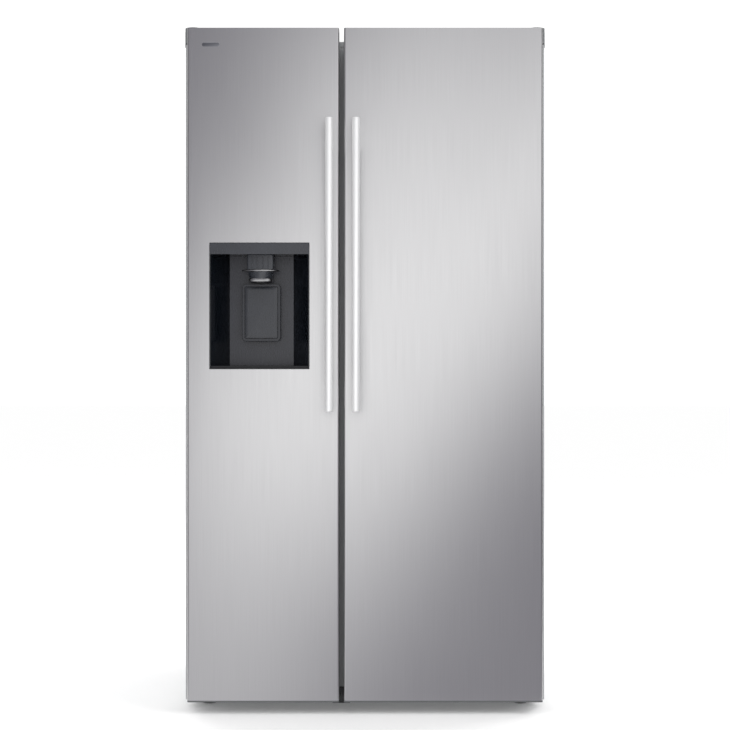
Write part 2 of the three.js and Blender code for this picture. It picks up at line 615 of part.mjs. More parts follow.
// Bracket between a bar's end and the door, tapered towards the middle of the bar.
function handleMount(x, end) {
  const inset = 6;
  const length = 72;
  const outer = end === 'top' ? HANDLE_TOP - inset : HANDLE_BOTTOM + inset;
  const inner = end === 'top' ? outer - length : outer + length;
  const taper = (outer - inner) * 0.18;
  const side = outline([
    [DOOR_FRONT - FIT, outer], [HANDLE_Y, outer], [HANDLE_Y, inner + taper], [DOOR_FRONT - FIT, inner]]);
  const barSpace = rod('z', HANDLE_RADIUS + FIT, 900, x, HANDLE_Y, (HANDLE_TOP + HANDLE_BOTTOM) / 2, 32);
  return cut(alongX(side, x - 7.5, x + 7.5), barSpace);
}

// Open tray that hangs between a door's two ridges.
function doorBin(plug, bottom, height) {
  const { back, wall, corner } = BIN;
  const left = plug.left + RIDGE.width + FIT;
  const right = plug.right - RIDGE.width - FIT;
  const front = DOOR_BACK + FIT * 2;
  const outside = roundedOutline(left, right, front, back, corner);
  const inside = roundedOutline(left + wall, right - wall, front + wall, back - wall, corner - 2);
  return cut(
    alongZ(outside, bottom, bottom + height, 3),
    alongZ(inside, bottom + wall, bottom + height + 5, 3));
}

// ---------- Dispenser ----------
// Plan of the recess, moved outwards by grow: wide at the door's face and narrower at its rear wall.
function recessPlan(grow, front = DOOR_FRONT) {
  const { left, right, backLeft, backRight, back } = DISPENSER;
  return outline([
    [left - grow, front], [right + grow, front],
    [backRight + grow, back + grow], [backLeft - grow, back + grow]]);
}

function dispenserHousing() {
  const { left, right, bottom, top, ceiling, wall, clear } = DISPENSER;
  const outside = alongZ(recessPlan(-clear), bottom + clear, top - clear);
  const recess = alongZ(recessPlan(-clear - wall, DOOR_FRONT - 1), bottom + wall, ceiling);
  const panelPocket = box(
    left + PANEL.inset, right - PANEL.inset, DOOR_FRONT - 5, DOOR_FRONT + PANEL.depth, ceiling + 1, top - 3);
  return cut(outside, recess, panelPocket, ductPart(ceiling - 5, top + 5));
}

function dispenserPanel() {
  const { left, right, top, ceiling } = DISPENSER;
  return box(
    left + PANEL.inset + FIT, right - PANEL.inset - FIT, DOOR_FRONT + 0.2, DOOR_FRONT + PANEL.depth - FIT,
    ceiling + 1 + FIT, top - 3 - FIT);
}

// An upright length of the ice duct.
function ductPart(bottom, top) {
  return box(CHUTE.x - DUCT.half, CHUTE.x + DUCT.half, DUCT.front, DUCT.back, bottom, top);
}

// Ice and water outlet: block, flange plate, tapered nozzle and rim, with the duct through all of them.
function dispenserChute() {
  const { x, y, front, back, rimBottom } = CHUTE;
  const top = DISPENSER.ceiling - FIT;
  const rimTop = rimBottom + 10;
  const flangeBottom = rimTop + 17;
  const flangeTop = flangeBottom + 6;
  const block = box(x - 32, x + 32, front, back, flangeTop - 1, top);
  const flange = alongZ(roundedOutline(x - 47.5, x + 47.5, front - 4, back + 5, 10), flangeBottom, flangeTop);
  const sides = 16;
  const coneHeight = flangeBottom - rimTop + 2;
  const cone = new THREE.CylinderGeometry(31.5, 28.5, coneHeight, sides).rotateX(Math.PI / 2);
  cone.translate(x, y, rimTop - 1 + coneHeight / 2);
  const rim = rod('z', 29.5, rimTop - rimBottom, x, y, (rimTop + rimBottom) / 2, sides);
  const boreTop = flangeTop + 1;
  const boreBottom = rimBottom - 5;
  const bore = rod('z', 26, boreTop - boreBottom, x, y, (boreTop + boreBottom) / 2, sides);
  return cut(join(block, flange, cone, rim), bore, ductPart(flangeTop, top + 5));
}

function iceFlap() {
  const { y, z } = FLAP_PIVOT;
  const half = DUCT.half - 1.5;
  const plate = box(CHUTE.x - half, CHUTE.x + half, DUCT.front + 1, y, z - 1.5, z + 1.5);
  return join(plate, rod('x', 2, 2 * half, CHUTE.x, y, z, 10));
}

// Plate behind the outlet that a glass pushes back, with a raised pad.
function dispenserPaddle() {
  const [half, face, thick] = [48.5, -242, 8];
  const [bottom, top] = [DISPENSER.ceiling - 217, CHUTE.rimBottom - 2];
  const border = 8;
  const plate = roundedOutline(CHUTE.x - half, CHUTE.x + half, bottom, top, 10);
  const padHalf = half - border;
  const pad = roundedOutline(CHUTE.x - padHalf, CHUTE.x + padHalf, bottom + border, top - border, 6);
  return join(alongY(plate, face, face + thick), alongY(pad, face - 2, face + 1));
}

function dripTray() {
  const { bottom, wall, clear } = DISPENSER;
  const floor = bottom + wall + FIT;
  const side = 1.2;
  const tray = alongZ(recessPlan(-clear - wall - side, DOOR_FRONT + 1.5), floor, floor + 5.7);
  const slots = Array.from({ length: 9 }, (_, i) => {
    const x = CHUTE.x - 68 + i * 17;
    return box(x - 3.5, x + 3.5, -298, -232, floor + 2, floor + 20);
  });
  return cut(tray, ...slots);
}

// Slanted duct through the freezer door, from the bin's spout down to the recess's ceiling.
function iceDuct() {
  const { half, front, back } = DUCT;
  const z = DISPENSER.top;
  const [inletBottom, inletTop, beyond] = [z + 78, z + 138, RIDGE.back + 20];
  const side = outline([
    [front, z - 5], [back, z - 5], [back, z + 20], [beyond, inletBottom], [beyond, inletTop],
    [RIDGE.back, inletTop], [front, z + 28]]);
  return alongX(side, CHUTE.x - half, CHUTE.x + half);
}

// ---------- Assemblies ----------
const LEDGE = 8;
const drawerRunner = [UPPER_DRAWER.bottom - FIT, CAVITY.stepFront + 4, RUNNER];
const freezerLedges = [
  [SHELF_Z.freezer, 236, LEDGE], [ICE.binBottom - FIT, 160, 2 * LEDGE + 4], drawerRunner];
const fridgeLedges = [
  ...['upper', 'middle', 'lower', 'drawerCover'].map((name) => [SHELF_Z[name], SHELF_BACK.fridge, LEDGE]),
  drawerRunner];

function cabinet() {
  const group = new THREE.Group();
  const airDuct = box(120, 255, CAVITY.back - 14, CAVITY.back + 1, 420, 1580);
  group.add(
    piece('outer_case', outerCase(), paintedCase),
    piece('rear_panel', rearPanel(), zincPlate),
    piece('cabinet_insulation', cabinetInsulation(), foam),
    piece('freezer_liner', liner(
      FREEZER, -CASE_HALF + FLANGE + FIT, FREEZER.right + 4, freezerLedges), whiteLiner),
    piece('fridge_liner', liner(
      FRIDGE, FRIDGE.left - 4, CASE_HALF - FLANGE - FIT, fridgeLedges, [airDuct]), whiteLiner),
    piece('mullion_cover', mullionCover(), darkPlastic),
    piece('base_frame', baseFrame(), zincPlate),
    piece('top_hinge_left', topHinge(), zincPlate),
    piece('top_hinge_right', mirrored(topHinge()), zincPlate),
    piece('hinge_cover_left', hingeCover(), darkPlastic),
    piece('hinge_cover_right', mirrored(hingeCover()), darkPlastic),
    piece('bottom_hinge_left', bottomHinge(), zincPlate),
    piece('bottom_hinge_right', mirrored(bottomHinge()), zincPlate));
  return group;
}

function supports() {
  const group = new THREE.Group();
  for (const [name, side] of [['left', -1], ['right', 1]]) {
    const foot = piece(`front_foot_${name}`, levellingFoot(), blackPaint);
    foot.position.set(side * FOOT.x, FOOT.y, 0);
    const wheel = piece(`rear_roller_${name}`, roller(), darkPlastic);
    wheel.position.set(side * ROLLER.x, ROLLER.y, ROLLER.radius);
    group.add(foot, wheel);
  }
  return group;
}

function machineRoom() {
  const group = new THREE.Group();
  const fan = piece('condenser_fan', axialFan(FAN.radius, FAN.hub, 5, 24), darkPlastic);
  fan.position.set(FAN.x, FAN.y, FAN.z);
  group.add(
    piece('compressor', compressor(), blackPaint),
    piece('condenser_coil', condenserCoil(), copper),
    fan,
    piece('compressor_cover', compressorCover(), zincPlate),
    piece('power_inlet', powerInlet(), glossBlack));
  return group;
}

function coldParts() {
  const group = new THREE.Group();
  const blades = axialFan(EVAPORATOR_FAN.radius, EVAPORATOR_FAN.hub, 5, 16);
  const fan = piece('evaporator_fan', blades, darkPlastic);
  fan.rotation.z = Math.PI / 2;
  fan.position.set((FREEZER.left + FREEZER.right) / 2, EVAPORATOR_FAN.y, EVAPORATOR_FAN.z);
  const auger = piece('ice_auger', iceAuger(), aluminium);
  auger.position.set(CHUTE.x, ICE.back - AUGER.length - 28, ICE.binBottom + AUGER.height);
  group.add(
    piece('evaporator', evaporator(), aluminium),
    fan,
    piece('freezer_air_panel', freezerAirPanel(), whiteLiner),
    piece('ice_maker', iceMaker(), whiteLiner),
    piece('ice_bin', iceBin(), clearPlastic),
    auger);
  return group;
}

function storage() {
  const group = new THREE.Group();
  group.add(
    piece('freezer_shelf', shelf(FREEZER, SHELF_Z.freezer + FIT, SHELF_BACK.freezer), clearPlastic),
    piece('crisper_cover', shelf(FRIDGE, SHELF_Z.drawerCover + FIT, SHELF_BACK.fridge), clearPlastic),
    piece('freezer_drawer_upper', drawer(FREEZER, UPPER_DRAWER, SHELF_BACK.freezer - 2), clearPlastic),
    piece('freezer_drawer_lower', drawer(FREEZER, LOWER_DRAWER, LOWER_DRAWER.back), clearPlastic),
    piece('crisper_upper', drawer(FRIDGE, UPPER_DRAWER, SHELF_BACK.fridge), clearPlastic),
    piece('crisper_lower', drawer(FRIDGE, LOWER_DRAWER, LOWER_DRAWER.back), clearPlastic));
  for (const name of ['upper', 'middle', 'lower']) {
    const plate = shelf(FRIDGE, SHELF_Z[name] + FIT, SHELF_BACK.fridge);
    group.add(piece(`fridge_shelf_${name}`, plate, clearPlastic));
  }
  return group;
}

function handle(group, door) {
  const x = HANDLE_X[door];
  group.add(
    piece(`${door}_handle_bar`, handleBar(x), satinBar),
    piece(`${door}_handle_mount_top`, handleMount(x, 'top'), satinBar),
    piece(`${door}_handle_mount_bottom`, handleMount(x, 'bottom'), satinBar));
}

function freezerDoor() {
  const group = new THREE.Group();
  const { left, right, bottom, top } = DISPENSER;
  const faceOpening = box(left, right, DOOR_FRONT - 5, DOOR_FRONT + 5, bottom, top);
  const pocket = alongZ(recessPlan(FIT, DOOR_FRONT - 1), bottom, top);
  const bulge = box(
    FREEZER_PLUG.left, FREEZER_PLUG.right, DOOR_BACK - 1, RIDGE.back, bottom - 33, top + 153);
  group.add(
    piece('freezer_door_skin', doorSkin(FREEZER_DOOR, -1, [faceOpening]), brushedSteel),
    piece('freezer_door_core', doorCore(
      FREEZER_DOOR, -1, FREEZER_PLUG, [bulge], [pocket, iceDuct()]), whiteLiner),
    piece('freezer_gasket', gasket(-PIVOT_X + 2, FREEZER_DOOR.right - 2), rubber),
    piece('dispenser_housing', dispenserHousing(), glossBlack),
    piece('dispenser_panel', dispenserPanel(), greyGloss),
    piece('dispenser_chute', dispenserChute(), chrome),
    piece('dispenser_paddle', dispenserPaddle(), greyGloss),
    piece('drip_tray', dripTray(), glossBlack),
    piece('ice_flap', iceFlap(), darkPlastic));
  group.add(
    piece('freezer_bin_upper', doorBin(FREEZER_PLUG, 1385, 95), clearPlastic),
    piece('freezer_bin_lower', doorBin(FREEZER_PLUG, 400, 110), clearPlastic));
  handle(group, 'freezer');
  return group;
}

function fridgeDoor() {
  const group = new THREE.Group();
  group.add(
    piece('fridge_door_skin', doorSkin(FRIDGE_DOOR, 1), brushedSteel),
    piece('fridge_door_core', doorCore(FRIDGE_DOOR, 1, FRIDGE_PLUG, [], []), whiteLiner),
    piece('fridge_gasket', gasket(FRIDGE_DOOR.left + 2, PIVOT_X - 2), rubber));
  const bins = [['upper', 1350, 95], ['middle', 960, 110], ['lower', 500, 130]];
  for (const [name, z, height] of bins) {
    group.add(piece(`fridge_bin_${name}`, doorBin(FRIDGE_PLUG, z, height), clearPlastic));
  }
  handle(group, 'fridge');
  return group;
}

const refrigerator = new THREE.Group();
refrigerator.add(
  cabinet(), supports(), machineRoom(), coldParts(), storage(), freezerDoor(), fridgeDoor());

export default refrigerator;
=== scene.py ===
"""Side by side refrigerator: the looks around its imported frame. Metres, +Z up, front towards -Y."""
import json
import math
from collections import namedtuple

import bmesh
import bpy
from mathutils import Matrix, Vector


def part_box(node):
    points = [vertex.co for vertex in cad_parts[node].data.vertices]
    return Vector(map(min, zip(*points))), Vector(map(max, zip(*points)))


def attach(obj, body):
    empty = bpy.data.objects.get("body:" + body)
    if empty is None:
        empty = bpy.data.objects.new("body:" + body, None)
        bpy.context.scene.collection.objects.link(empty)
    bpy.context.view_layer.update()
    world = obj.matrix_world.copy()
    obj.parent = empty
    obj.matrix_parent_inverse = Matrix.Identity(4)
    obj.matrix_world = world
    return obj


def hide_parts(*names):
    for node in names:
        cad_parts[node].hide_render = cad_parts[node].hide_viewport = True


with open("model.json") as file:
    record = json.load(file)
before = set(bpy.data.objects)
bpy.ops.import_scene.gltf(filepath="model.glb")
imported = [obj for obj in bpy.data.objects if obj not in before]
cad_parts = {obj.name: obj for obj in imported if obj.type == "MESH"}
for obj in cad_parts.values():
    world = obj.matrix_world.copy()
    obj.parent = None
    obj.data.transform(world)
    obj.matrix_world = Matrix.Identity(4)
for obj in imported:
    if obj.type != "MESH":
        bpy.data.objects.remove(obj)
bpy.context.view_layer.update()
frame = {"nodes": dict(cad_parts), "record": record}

MM = 0.001


# ---------- Places read from the frame ----------
Span = namedtuple("Span", "x0 x1 y0 y1 z0 z1")


def span(node):
    """Lowest and highest place of a CAD node along each axis."""
    low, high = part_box(node)
    return Span(low.x, high.x, low.y, high.y, low.z, high.z)


CASE = span("outer_case")
DOOR = span("fridge_door_skin")
EDGE_RADIUS = 5 * MM  # upright edges of a door
NOTCH_X = span("bottom_hinge_right").x0 + 5 * MM  # corner cut out of a door for its hinge
NOTCH_FRONT = DOOR.y0 + 12 * MM
TOP_SHELF = span("fridge_shelf_upper")
FRIDGE_LEFT = TOP_SHELF.x0 - 1.5 * MM  # the liner, a gap beside the shelf
FRIDGE_MIDDLE = (TOP_SHELF.x0 + TOP_SHELF.x1) / 2
CEILING = CASE.z1 - 62 * MM
DOOR_BINS = {
    "freezer": ["freezer_bin_upper", "freezer_bin_lower"],
    "fridge": ["fridge_bin_upper", "fridge_bin_middle", "fridge_bin_lower"],
}
DRAWERS = ["freezer_drawer_upper", "freezer_drawer_lower", "crisper_upper", "crisper_lower"]
FRIDGE_SHELVES = ["fridge_shelf_upper", "fridge_shelf_middle", "fridge_shelf_lower", "crisper_cover"]


# ---------- Materials ----------
MATERIALS = {}


class Paint:
    """One procedural material around a Principled shader, with its textures laid out in metres."""

    def __init__(self, name, color, metallic=0.0, roughness=0.5, **extra):
        self.material = bpy.data.materials.new(name)
        MATERIALS[name] = self.material
        self.material.use_nodes = True
        self.nodes = self.material.node_tree.nodes
        self.links = self.material.node_tree.links
        self.shader = self.nodes["Principled BSDF"]
        self.color = color
        self.roughness = roughness
        values = {"Base_Color": (*color, 1.0), "Metallic": metallic, "Roughness": roughness, **extra}
        for socket, value in values.items():
            self.shader.inputs[socket.replace("_", " ")].default_value = value
        self.place = self.nodes.new("ShaderNodeTexCoord").outputs["Object"]
        self.relief = None

    def node(self, kind, **inputs):
        """New shader node, with each input linked to a socket or set to a value."""
        made = self.nodes.new("ShaderNode" + kind)
        for name, value in inputs.items():
            socket = made.inputs[name.replace("_", " ")]
            if isinstance(value, bpy.types.NodeSocket):
                self.links.new(value, socket)
            else:
                socket.default_value = value
        return made

    def noise(self, scale, detail=2.0):
        """Noise with so many features a metre, the same along all axes or one number for each."""
        vector = self.place
        if isinstance(scale, tuple):
            vector = self.node("Mapping", Vector=self.place, Scale=scale).outputs["Vector"]
            scale = 1.0
        return self.node("TexNoise", Vector=vector, Scale=scale, Detail=detail).outputs["Fac"]

    def between(self, fac, low, high):
        """fac, from its middle range, turned into low to high."""
        limits = {"From_Min": 0.3, "From_Max": 0.7, "To_Min": low, "To_Max": high}
        return self.node("MapRange", Value=fac, **limits).outputs["Result"]

    def vary_roughness(self, fac, amount):
        uneven = self.between(fac, self.roughness - amount, self.roughness + amount)
        self.links.new(uneven, self.shader.inputs["Roughness"])

    def vary_color(self, fac, low, high):
        """The base colour times low to high."""
        made = self.nodes.new("ShaderNodeMix")
        made.data_type = "RGBA"
        for name, times in (("A", low), ("B", high)):
            socket = next(s for s in made.inputs if s.name == name and s.type == "RGBA")
            socket.default_value = (*(min(1.0, c * times) for c in self.color), 1.0)
        self.links.new(self.between(fac, 0.0, 1.0), made.inputs["Factor"])
        mixed = next(s for s in made.outputs if s.type == "RGBA")
        self.links.new(mixed, self.shader.inputs["Base Color"])

    def bump(self, fac, strength, depth):
        """Adds a relief of that depth in metres, on top of an earlier one."""
        made = self.node("Bump", Height=fac, Strength=strength, Distance=depth)
        if self.relief is not None:
            self.links.new(self.relief, made.inputs["Normal"])
        self.relief = made.outputs["Normal"]
        self.links.new(self.relief, self.shader.inputs["Normal"])


def brushed_steel():
    """Rolled stainless sheet with a fine upright grain and faint handling clouds."""
    paint = Paint("stainless_door", (0.60, 0.602, 0.605), metallic=1.0, roughness=0.40)
    paint.vary_roughness(paint.noise((700.0, 700.0, 4.0)), 0.05)
    paint.vary_color(paint.noise((1300.0, 1300.0, 6.0), detail=3.0), 0.97, 1.03)
    paint.bump(paint.noise((1800.0, 1800.0, 9.0), detail=3.0), 0.12, 0.05 * MM)
    paint.bump(paint.noise(9.0, detail=1.0), 0.05, 0.3 * MM)


def satin_bar():
    """Drawn and satin finished steel, with its grain along the bar."""
    paint = Paint("satin_bar", (0.88, 0.882, 0.885), metallic=0.45, roughness=0.42)
    paint.vary_roughness(paint.noise((900.0, 900.0, 8.0)), 0.04)
    paint.bump(paint.noise((2600.0, 2600.0, 14.0), detail=3.0), 0.10, 0.04 * MM)


def painted_case():
    """Textured paint on steel: a fine pebble and a slightly uneven gloss."""
    paint = Paint("painted_case", (0.50, 0.508, 0.517), roughness=0.42)
    paint.vary_roughness(paint.noise(60.0), 0.05)
    paint.vary_color(paint.noise(240.0, detail=3.0), 0.975, 1.02)
    paint.bump(paint.noise(1100.0, detail=3.0), 0.35, 0.12 * MM)


def zinc_plate():
    """Galvanised sheet with broad soft spangles."""
    paint = Paint("zinc_plate", (0.47, 0.48, 0.49), metallic=1.0, roughness=0.45)
    cells = paint.node("TexVoronoi", Vector=paint.place, Scale=85.0).outputs["Color"]
    paint.vary_roughness(cells, 0.06)
    paint.vary_color(cells, 0.95, 1.04)
    paint.bump(paint.noise(420.0), 0.2, 0.06 * MM)


def moulded(name, color, roughness, grain=900.0, depth=0.06, **extra):
    """Moulded plastic: fine spark texture, uneven gloss and slight colour flow."""
    paint = Paint(name, color, roughness=roughness, **extra)
    paint.vary_roughness(paint.noise(45.0), 0.04)
    paint.vary_color(paint.noise(180.0, detail=3.0), 0.98, 1.02)
    paint.bump(paint.noise(grain, detail=3.0), 0.25, depth * MM)


def gloss(name, color, roughness):
    """Polished plastic with the faint waviness of a moulding and fine wiping marks."""
    paint = Paint(name, color, roughness=roughness)
    paint.vary_roughness(paint.noise((160.0, 160.0, 40.0), detail=4.0), 0.03)
    paint.vary_color(paint.noise(30.0), 0.94, 1.06)
    paint.bump(paint.noise(12.0, detail=1.0), 0.08, 0.25 * MM)


def chrome_trim():
    """Plated trim with faint smears and ripples."""
    paint = Paint("chrome_trim", (0.80, 0.805, 0.81), metallic=1.0, roughness=0.10)
    paint.vary_roughness(paint.noise(120.0, detail=4.0), 0.03)
    paint.bump(paint.noise(60.0), 0.05, 0.05 * MM)


def foam():
    """Insulation foam with a torn, blotchy skin."""
    paint = Paint("foam", (0.78, 0.70, 0.42), roughness=0.9)
    paint.vary_color(paint.noise(90.0, detail=4.0), 0.8, 1.1)
    paint.bump(paint.noise(500.0, detail=4.0), 0.7, 0.6 * MM)


def gasket_rubber():
    """Soft grey rubber, slightly blotchy."""
    paint = Paint("gasket_rubber", (0.34, 0.345, 0.35), roughness=0.55)
    paint.vary_roughness(paint.noise(70.0), 0.06)
    paint.vary_color(paint.noise(35.0), 0.92, 1.06)
    paint.bump(paint.noise(1500.0), 0.2, 0.05 * MM)


def black_enamel():
    """Thick sprayed enamel with an orange peel."""
    paint = Paint("black_enamel", (0.018, 0.018, 0.02), roughness=0.32)
    paint.vary_roughness(paint.noise(80.0, detail=4.0), 0.08)
    paint.vary_color(paint.noise(40.0), 0.8, 1.5)
    paint.bump(paint.noise(260.0, detail=3.0), 0.3, 0.2 * MM)


def bare_metal(name, color, roughness):
    """Unpainted metal with stains and a slightly rough skin."""
    paint = Paint(name, color, metallic=1.0, roughness=roughness)
    paint.vary_roughness(paint.noise(90.0, detail=4.0), 0.09)
    paint.vary_color(paint.noise(35.0, detail=3.0), 0.82, 1.08)
    paint.bump(paint.noise(700.0), 0.15, 0.05 * MM)


def clear_plastic(name, color, alpha):
    """Clear moulding or glass: sight goes mostly through, with faint waves."""
    paint = Paint(name, color, roughness=0.07, Alpha=alpha, IOR=1.49)
    paint.vary_roughness(paint.noise(50.0), 0.03)
    paint.bump(paint.noise(18.0, detail=1.0), 0.06, 0.2 * MM)


brushed_steel()
satin_bar()
painted_case()
zinc_plate()
chrome_trim()
foam()
gasket_rubber()
black_enamel()
gloss("gloss_black", (0.005, 0.0065, 0.009), 0.09)
gloss("grey_gloss", (0.034, 0.037, 0.045), 0.26)
gloss("grey_wall", (0.036, 0.0385, 0.050), 0.28)
# darker copy of grey_gloss for the push plate's frame: painted shade along its border
gloss("grey_frame_painted_shade", (0.020, 0.022, 0.029), 0.26)
moulded("dark_plastic", (0.125, 0.13, 0.135), 0.45)
moulded("white_liner", (0.80, 0.81, 0.815), 0.32, grain=500.0, depth=0.03)
moulded("grey_cap", (0.40, 0.405, 0.41), 0.45)
moulded("lamp_lens", (0.92, 0.92, 0.88), 0.22, Emission_Strength=0.35)
moulded("fan_plastic", (0.035, 0.036, 0.038), 0.4)
moulded("mullion_plastic", (0.55, 0.56, 0.57), 0.45)
moulded("tray_plastic", (0.009, 0.010, 0.012), 0.5, Specular_IOR_Level=0.3)
bare_metal("copper_tube", (0.72, 0.36, 0.20), 0.30)
bare_metal("bare_aluminium", (0.70, 0.71, 0.72), 0.36)
bare_metal("satin_chrome", (0.38, 0.384, 0.388), 0.36)
bare_metal("badge_metal", (0.30, 0.31, 0.33), 0.34)
clear_plastic("clear_plastic", (0.84, 0.91, 0.94), 0.15)
clear_plastic("shelf_glass", (0.60, 0.80, 0.74), 0.24)
FINISH_OF = {"mullion_cover": "mullion_plastic", "drip_tray": "tray_plastic"}
SLOT_OF = {row["node"]: row["material_slot"] for row in frame["record"]["subparts"]}


# ---------- CAD nodes that stay ----------
SHARP = math.radians(34)  # what turns less than this is a facet of a curve, not an edge


def smooth(mesh):
    mesh.polygons.foreach_set("use_smooth", [True] * len(mesh.polygons))
    mesh.set_sharp_from_angle(angle=SHARP)


def round_edges(obj, width):
    """Rounds the sharp edges of obj by so many millimetres."""
    bevel = obj.modifiers.new("edges", "BEVEL")
    bevel.width = width * MM
    bevel.segments = 2
    bevel.limit_method = "ANGLE"
    bevel.angle_limit = SHARP
    bevel.harden_normals = True


def dress(node):
    """Gives a CAD node its material, welded corners and slightly rounded edges."""
    obj = frame["nodes"][node]
    mesh = obj.data
    mesh.materials.clear()
    mesh.materials.append(MATERIALS[FINISH_OF.get(node, SLOT_OF[node])])
    if "custom_normal" in mesh.attributes:
        mesh.attributes.remove(mesh.attributes["custom_normal"])
    smooth(mesh)
    weld = obj.modifiers.new("weld", "WELD")
    weld.merge_threshold = 0.01 * MM
    round_edges(obj, 0.5)


# ---------- Shape helpers ----------
def rounded(a0, a1, b0, b1, radius, arcs=4):
    """Outline of a rectangle with an arc of so many steps at each corner."""
    centres = [(a1 - radius, b0 + radius), (a1 - radius, b1 - radius),
               (a0 + radius, b1 - radius), (a0 + radius, b0 + radius)]
    outline = []
    for corner, (a, b) in enumerate(centres):
        for step in range(arcs + 1):
            turn = math.radians(90 * (corner - 1 + step / arcs))
            outline.append((a + radius * math.cos(turn), b + radius * math.sin(turn)))
    return outline


def oval(a, b, half_a, half_b, count=48):
    turns = [2 * math.pi * i / count for i in range(count)]
    return [(a + half_a * math.cos(t), b + half_b * math.sin(t)) for t in turns]


def squarish(a, b, half, power=4.0):
    """Outline between a circle and a square."""
    outline = []
    for cosine, sine in oval(0, 0, 1, 1):
        outline.append((a + half * math.copysign(abs(cosine) ** (2 / power), cosine),
                        b + half * math.copysign(abs(sine) ** (2 / power), sine)))
    return outline


def level(outline, z):
    return [(a, b, z) for a, b in outline]


def upright(outline, y):
    return [(a, y, b) for a, b in outline]


def sideways(outline, x):
    return [(x, a, b) for a, b in outline]


def spread(first, last, count):
    """So many evenly spaced places from first to last."""
    return [first + (last - first) * i / (count - 1) for i in range(count)]


def add_loft(bm, rings, loop=False):
    """Skin over rings of equally many points, with a face at each end, or joined from last to first."""
    rows = [[bm.verts.new(point) for point in ring] for ring in rings]
    pairs = list(zip(rows, rows[1:]))
    if loop:
        pairs.append((rows[-1], rows[0]))
    else:
        bm.faces.new(reversed(rows[0]))
        bm.faces.new(rows[-1])
    for low, high in pairs:
        for i in range(len(low)):
            j = (i + 1) % len(low)
            bm.faces.new((low[i], low[j], high[j], high[i]))


def add_slab(bm, outline, lay, start, end):
    """Outline drawn out from start to end, in the direction of level, upright or sideways."""
    add_loft(bm, [lay(outline, start), lay(outline, end)])


def add_hollow(bm, outer, inner, lay, start, end):
    """Space between two outlines, drawn out from start to end."""
    add_loft(bm, [lay(outer, start), lay(outer, end), lay(inner, end), lay(inner, start)], loop=True)


def corners_of(a0, a1, b0, b1):
    return [(a0, b0), (a1, b0), (a1, b1), (a0, b1)]


def add_box(bm, x0, x1, y0, y1, z0, z1):
    add_slab(bm, corners_of(x0, x1, y0, y1), level, z0, z1)


def add_raised(bm, sides, corner, lay, start, steps, arcs=4, least=None, loop=False):
    """Rounded rectangle lofted through steps, which are pairs of inset and distance from start.

    These and the corner are in millimetres. With least, the corner shrinks by the inset, down to least.
    """
    a0, a1, b0, b1 = sides
    rings = []
    for inset, distance in steps:
        grow = inset * MM
        radius = corner if least is None else max(corner - inset, least)
        outline = rounded(a0 + grow, a1 - grow, b0 + grow, b1 - grow, radius * MM, arcs)
        rings.append(lay(outline, start + distance * MM))
    add_loft(bm, rings, loop)


def add_turned(bm, profile, centre, axis="z", loop=False, count=48):
    """Turned shape about an axis through centre, from radii and places along it in millimetres."""
    x, y, z = centre
    rings = {
        "x": lambda r, at: sideways(oval(y, z, r, r, count), x + at),
        "y": lambda r, at: upright(oval(x, z, r, r, count), y + at),
        "z": lambda r, at: level(oval(x, y, r, r, count), z + at),
    }
    add_loft(bm, [rings[axis](r * MM, at * MM) for r, at in profile], loop)


def add_tube(bm, points, radius, sides=10):
    """Round tube along a path of points."""
    points = [Vector(point) for point in points]
    across = None
    rings = []
    for i, point in enumerate(points):
        along = (points[min(i + 1, len(points) - 1)] - points[max(i - 1, 0)]).normalized()
        across = along.orthogonal() if across is None else across - along * across.dot(along)
        across.normalize()
        up = along.cross(across)
        rings.append([point + radius * (across * a + up * b) for a, b in oval(0, 0, 1, 1, sides)])
    add_loft(bm, rings)


def bent(corners, radius, steps=6):
    """Path through corners, with a round bend in place of each corner between its ends."""
    corners = [Vector(corner) for corner in corners]
    path = [corners[0]]
    for before, corner, after in zip(corners, corners[1:], corners[2:]):
        start = corner + (before - corner).normalized() * radius
        end = corner + (after - corner).normalized() * radius
        for step in range(steps + 1):
            t = step / steps
            path.append(start * (1 - t) ** 2 + corner * 2 * t * (1 - t) + end * t ** 2)
    path.append(corners[-1])
    return path


def piece(name, bm, slot, body, edge=0.5, finish=None, stands_for=()):
    """Object from bm that rides on a body, with edges rounded by so many millimetres."""
    bmesh.ops.recalc_face_normals(bm, faces=bm.faces)
    mesh = bpy.data.meshes.new(name)
    bm.to_mesh(mesh)
    bm.free()
    mesh.materials.append(MATERIALS[finish or slot])
    smooth(mesh)
    obj = bpy.data.objects.new(name, mesh)
    bpy.context.scene.collection.objects.link(obj)
    if edge:
        round_edges(obj, edge)
    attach(obj, body)
    if stands_for:
        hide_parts(*stands_for)


# ---------- Ice and water dispenser ----------
HOUSING = span("dispenser_housing")
CHUTE = span("dispenser_chute")
CHUTE_X, CHUTE_Y = (CHUTE.x0 + CHUTE.x1) / 2, (CHUTE.y0 + CHUTE.y1) / 2
CHUTE_FOOT = (CHUTE_X, CHUTE_Y, CHUTE.z0)
CHUTE_BORE = 26  # millimetres, like the heights of the ring above the chute's foot
RING_BOTTOM, RING_TOP = 27, 33


def control_strip():
    """Slab in the housing's pocket behind a thin face as wide as the recess."""
    slab = span("dispenser_panel")
    side_gap = 0.6 * MM
    low, high = slab.z0 - 2.4 * MM, HOUSING.z1 - 0.8 * MM
    face = rounded(HOUSING.x0 + side_gap, HOUSING.x1 - side_gap, low, high, 1.2 * MM)
    bm = bmesh.new()
    add_box(bm, *slab)
    add_slab(bm, face, upright, HOUSING.y0 - 0.05 * MM, HOUSING.y0 - 0.9 * MM)
    piece("dispenser_control_strip", bm, "grey_gloss", "freezer_door", stands_for=["dispenser_panel"])


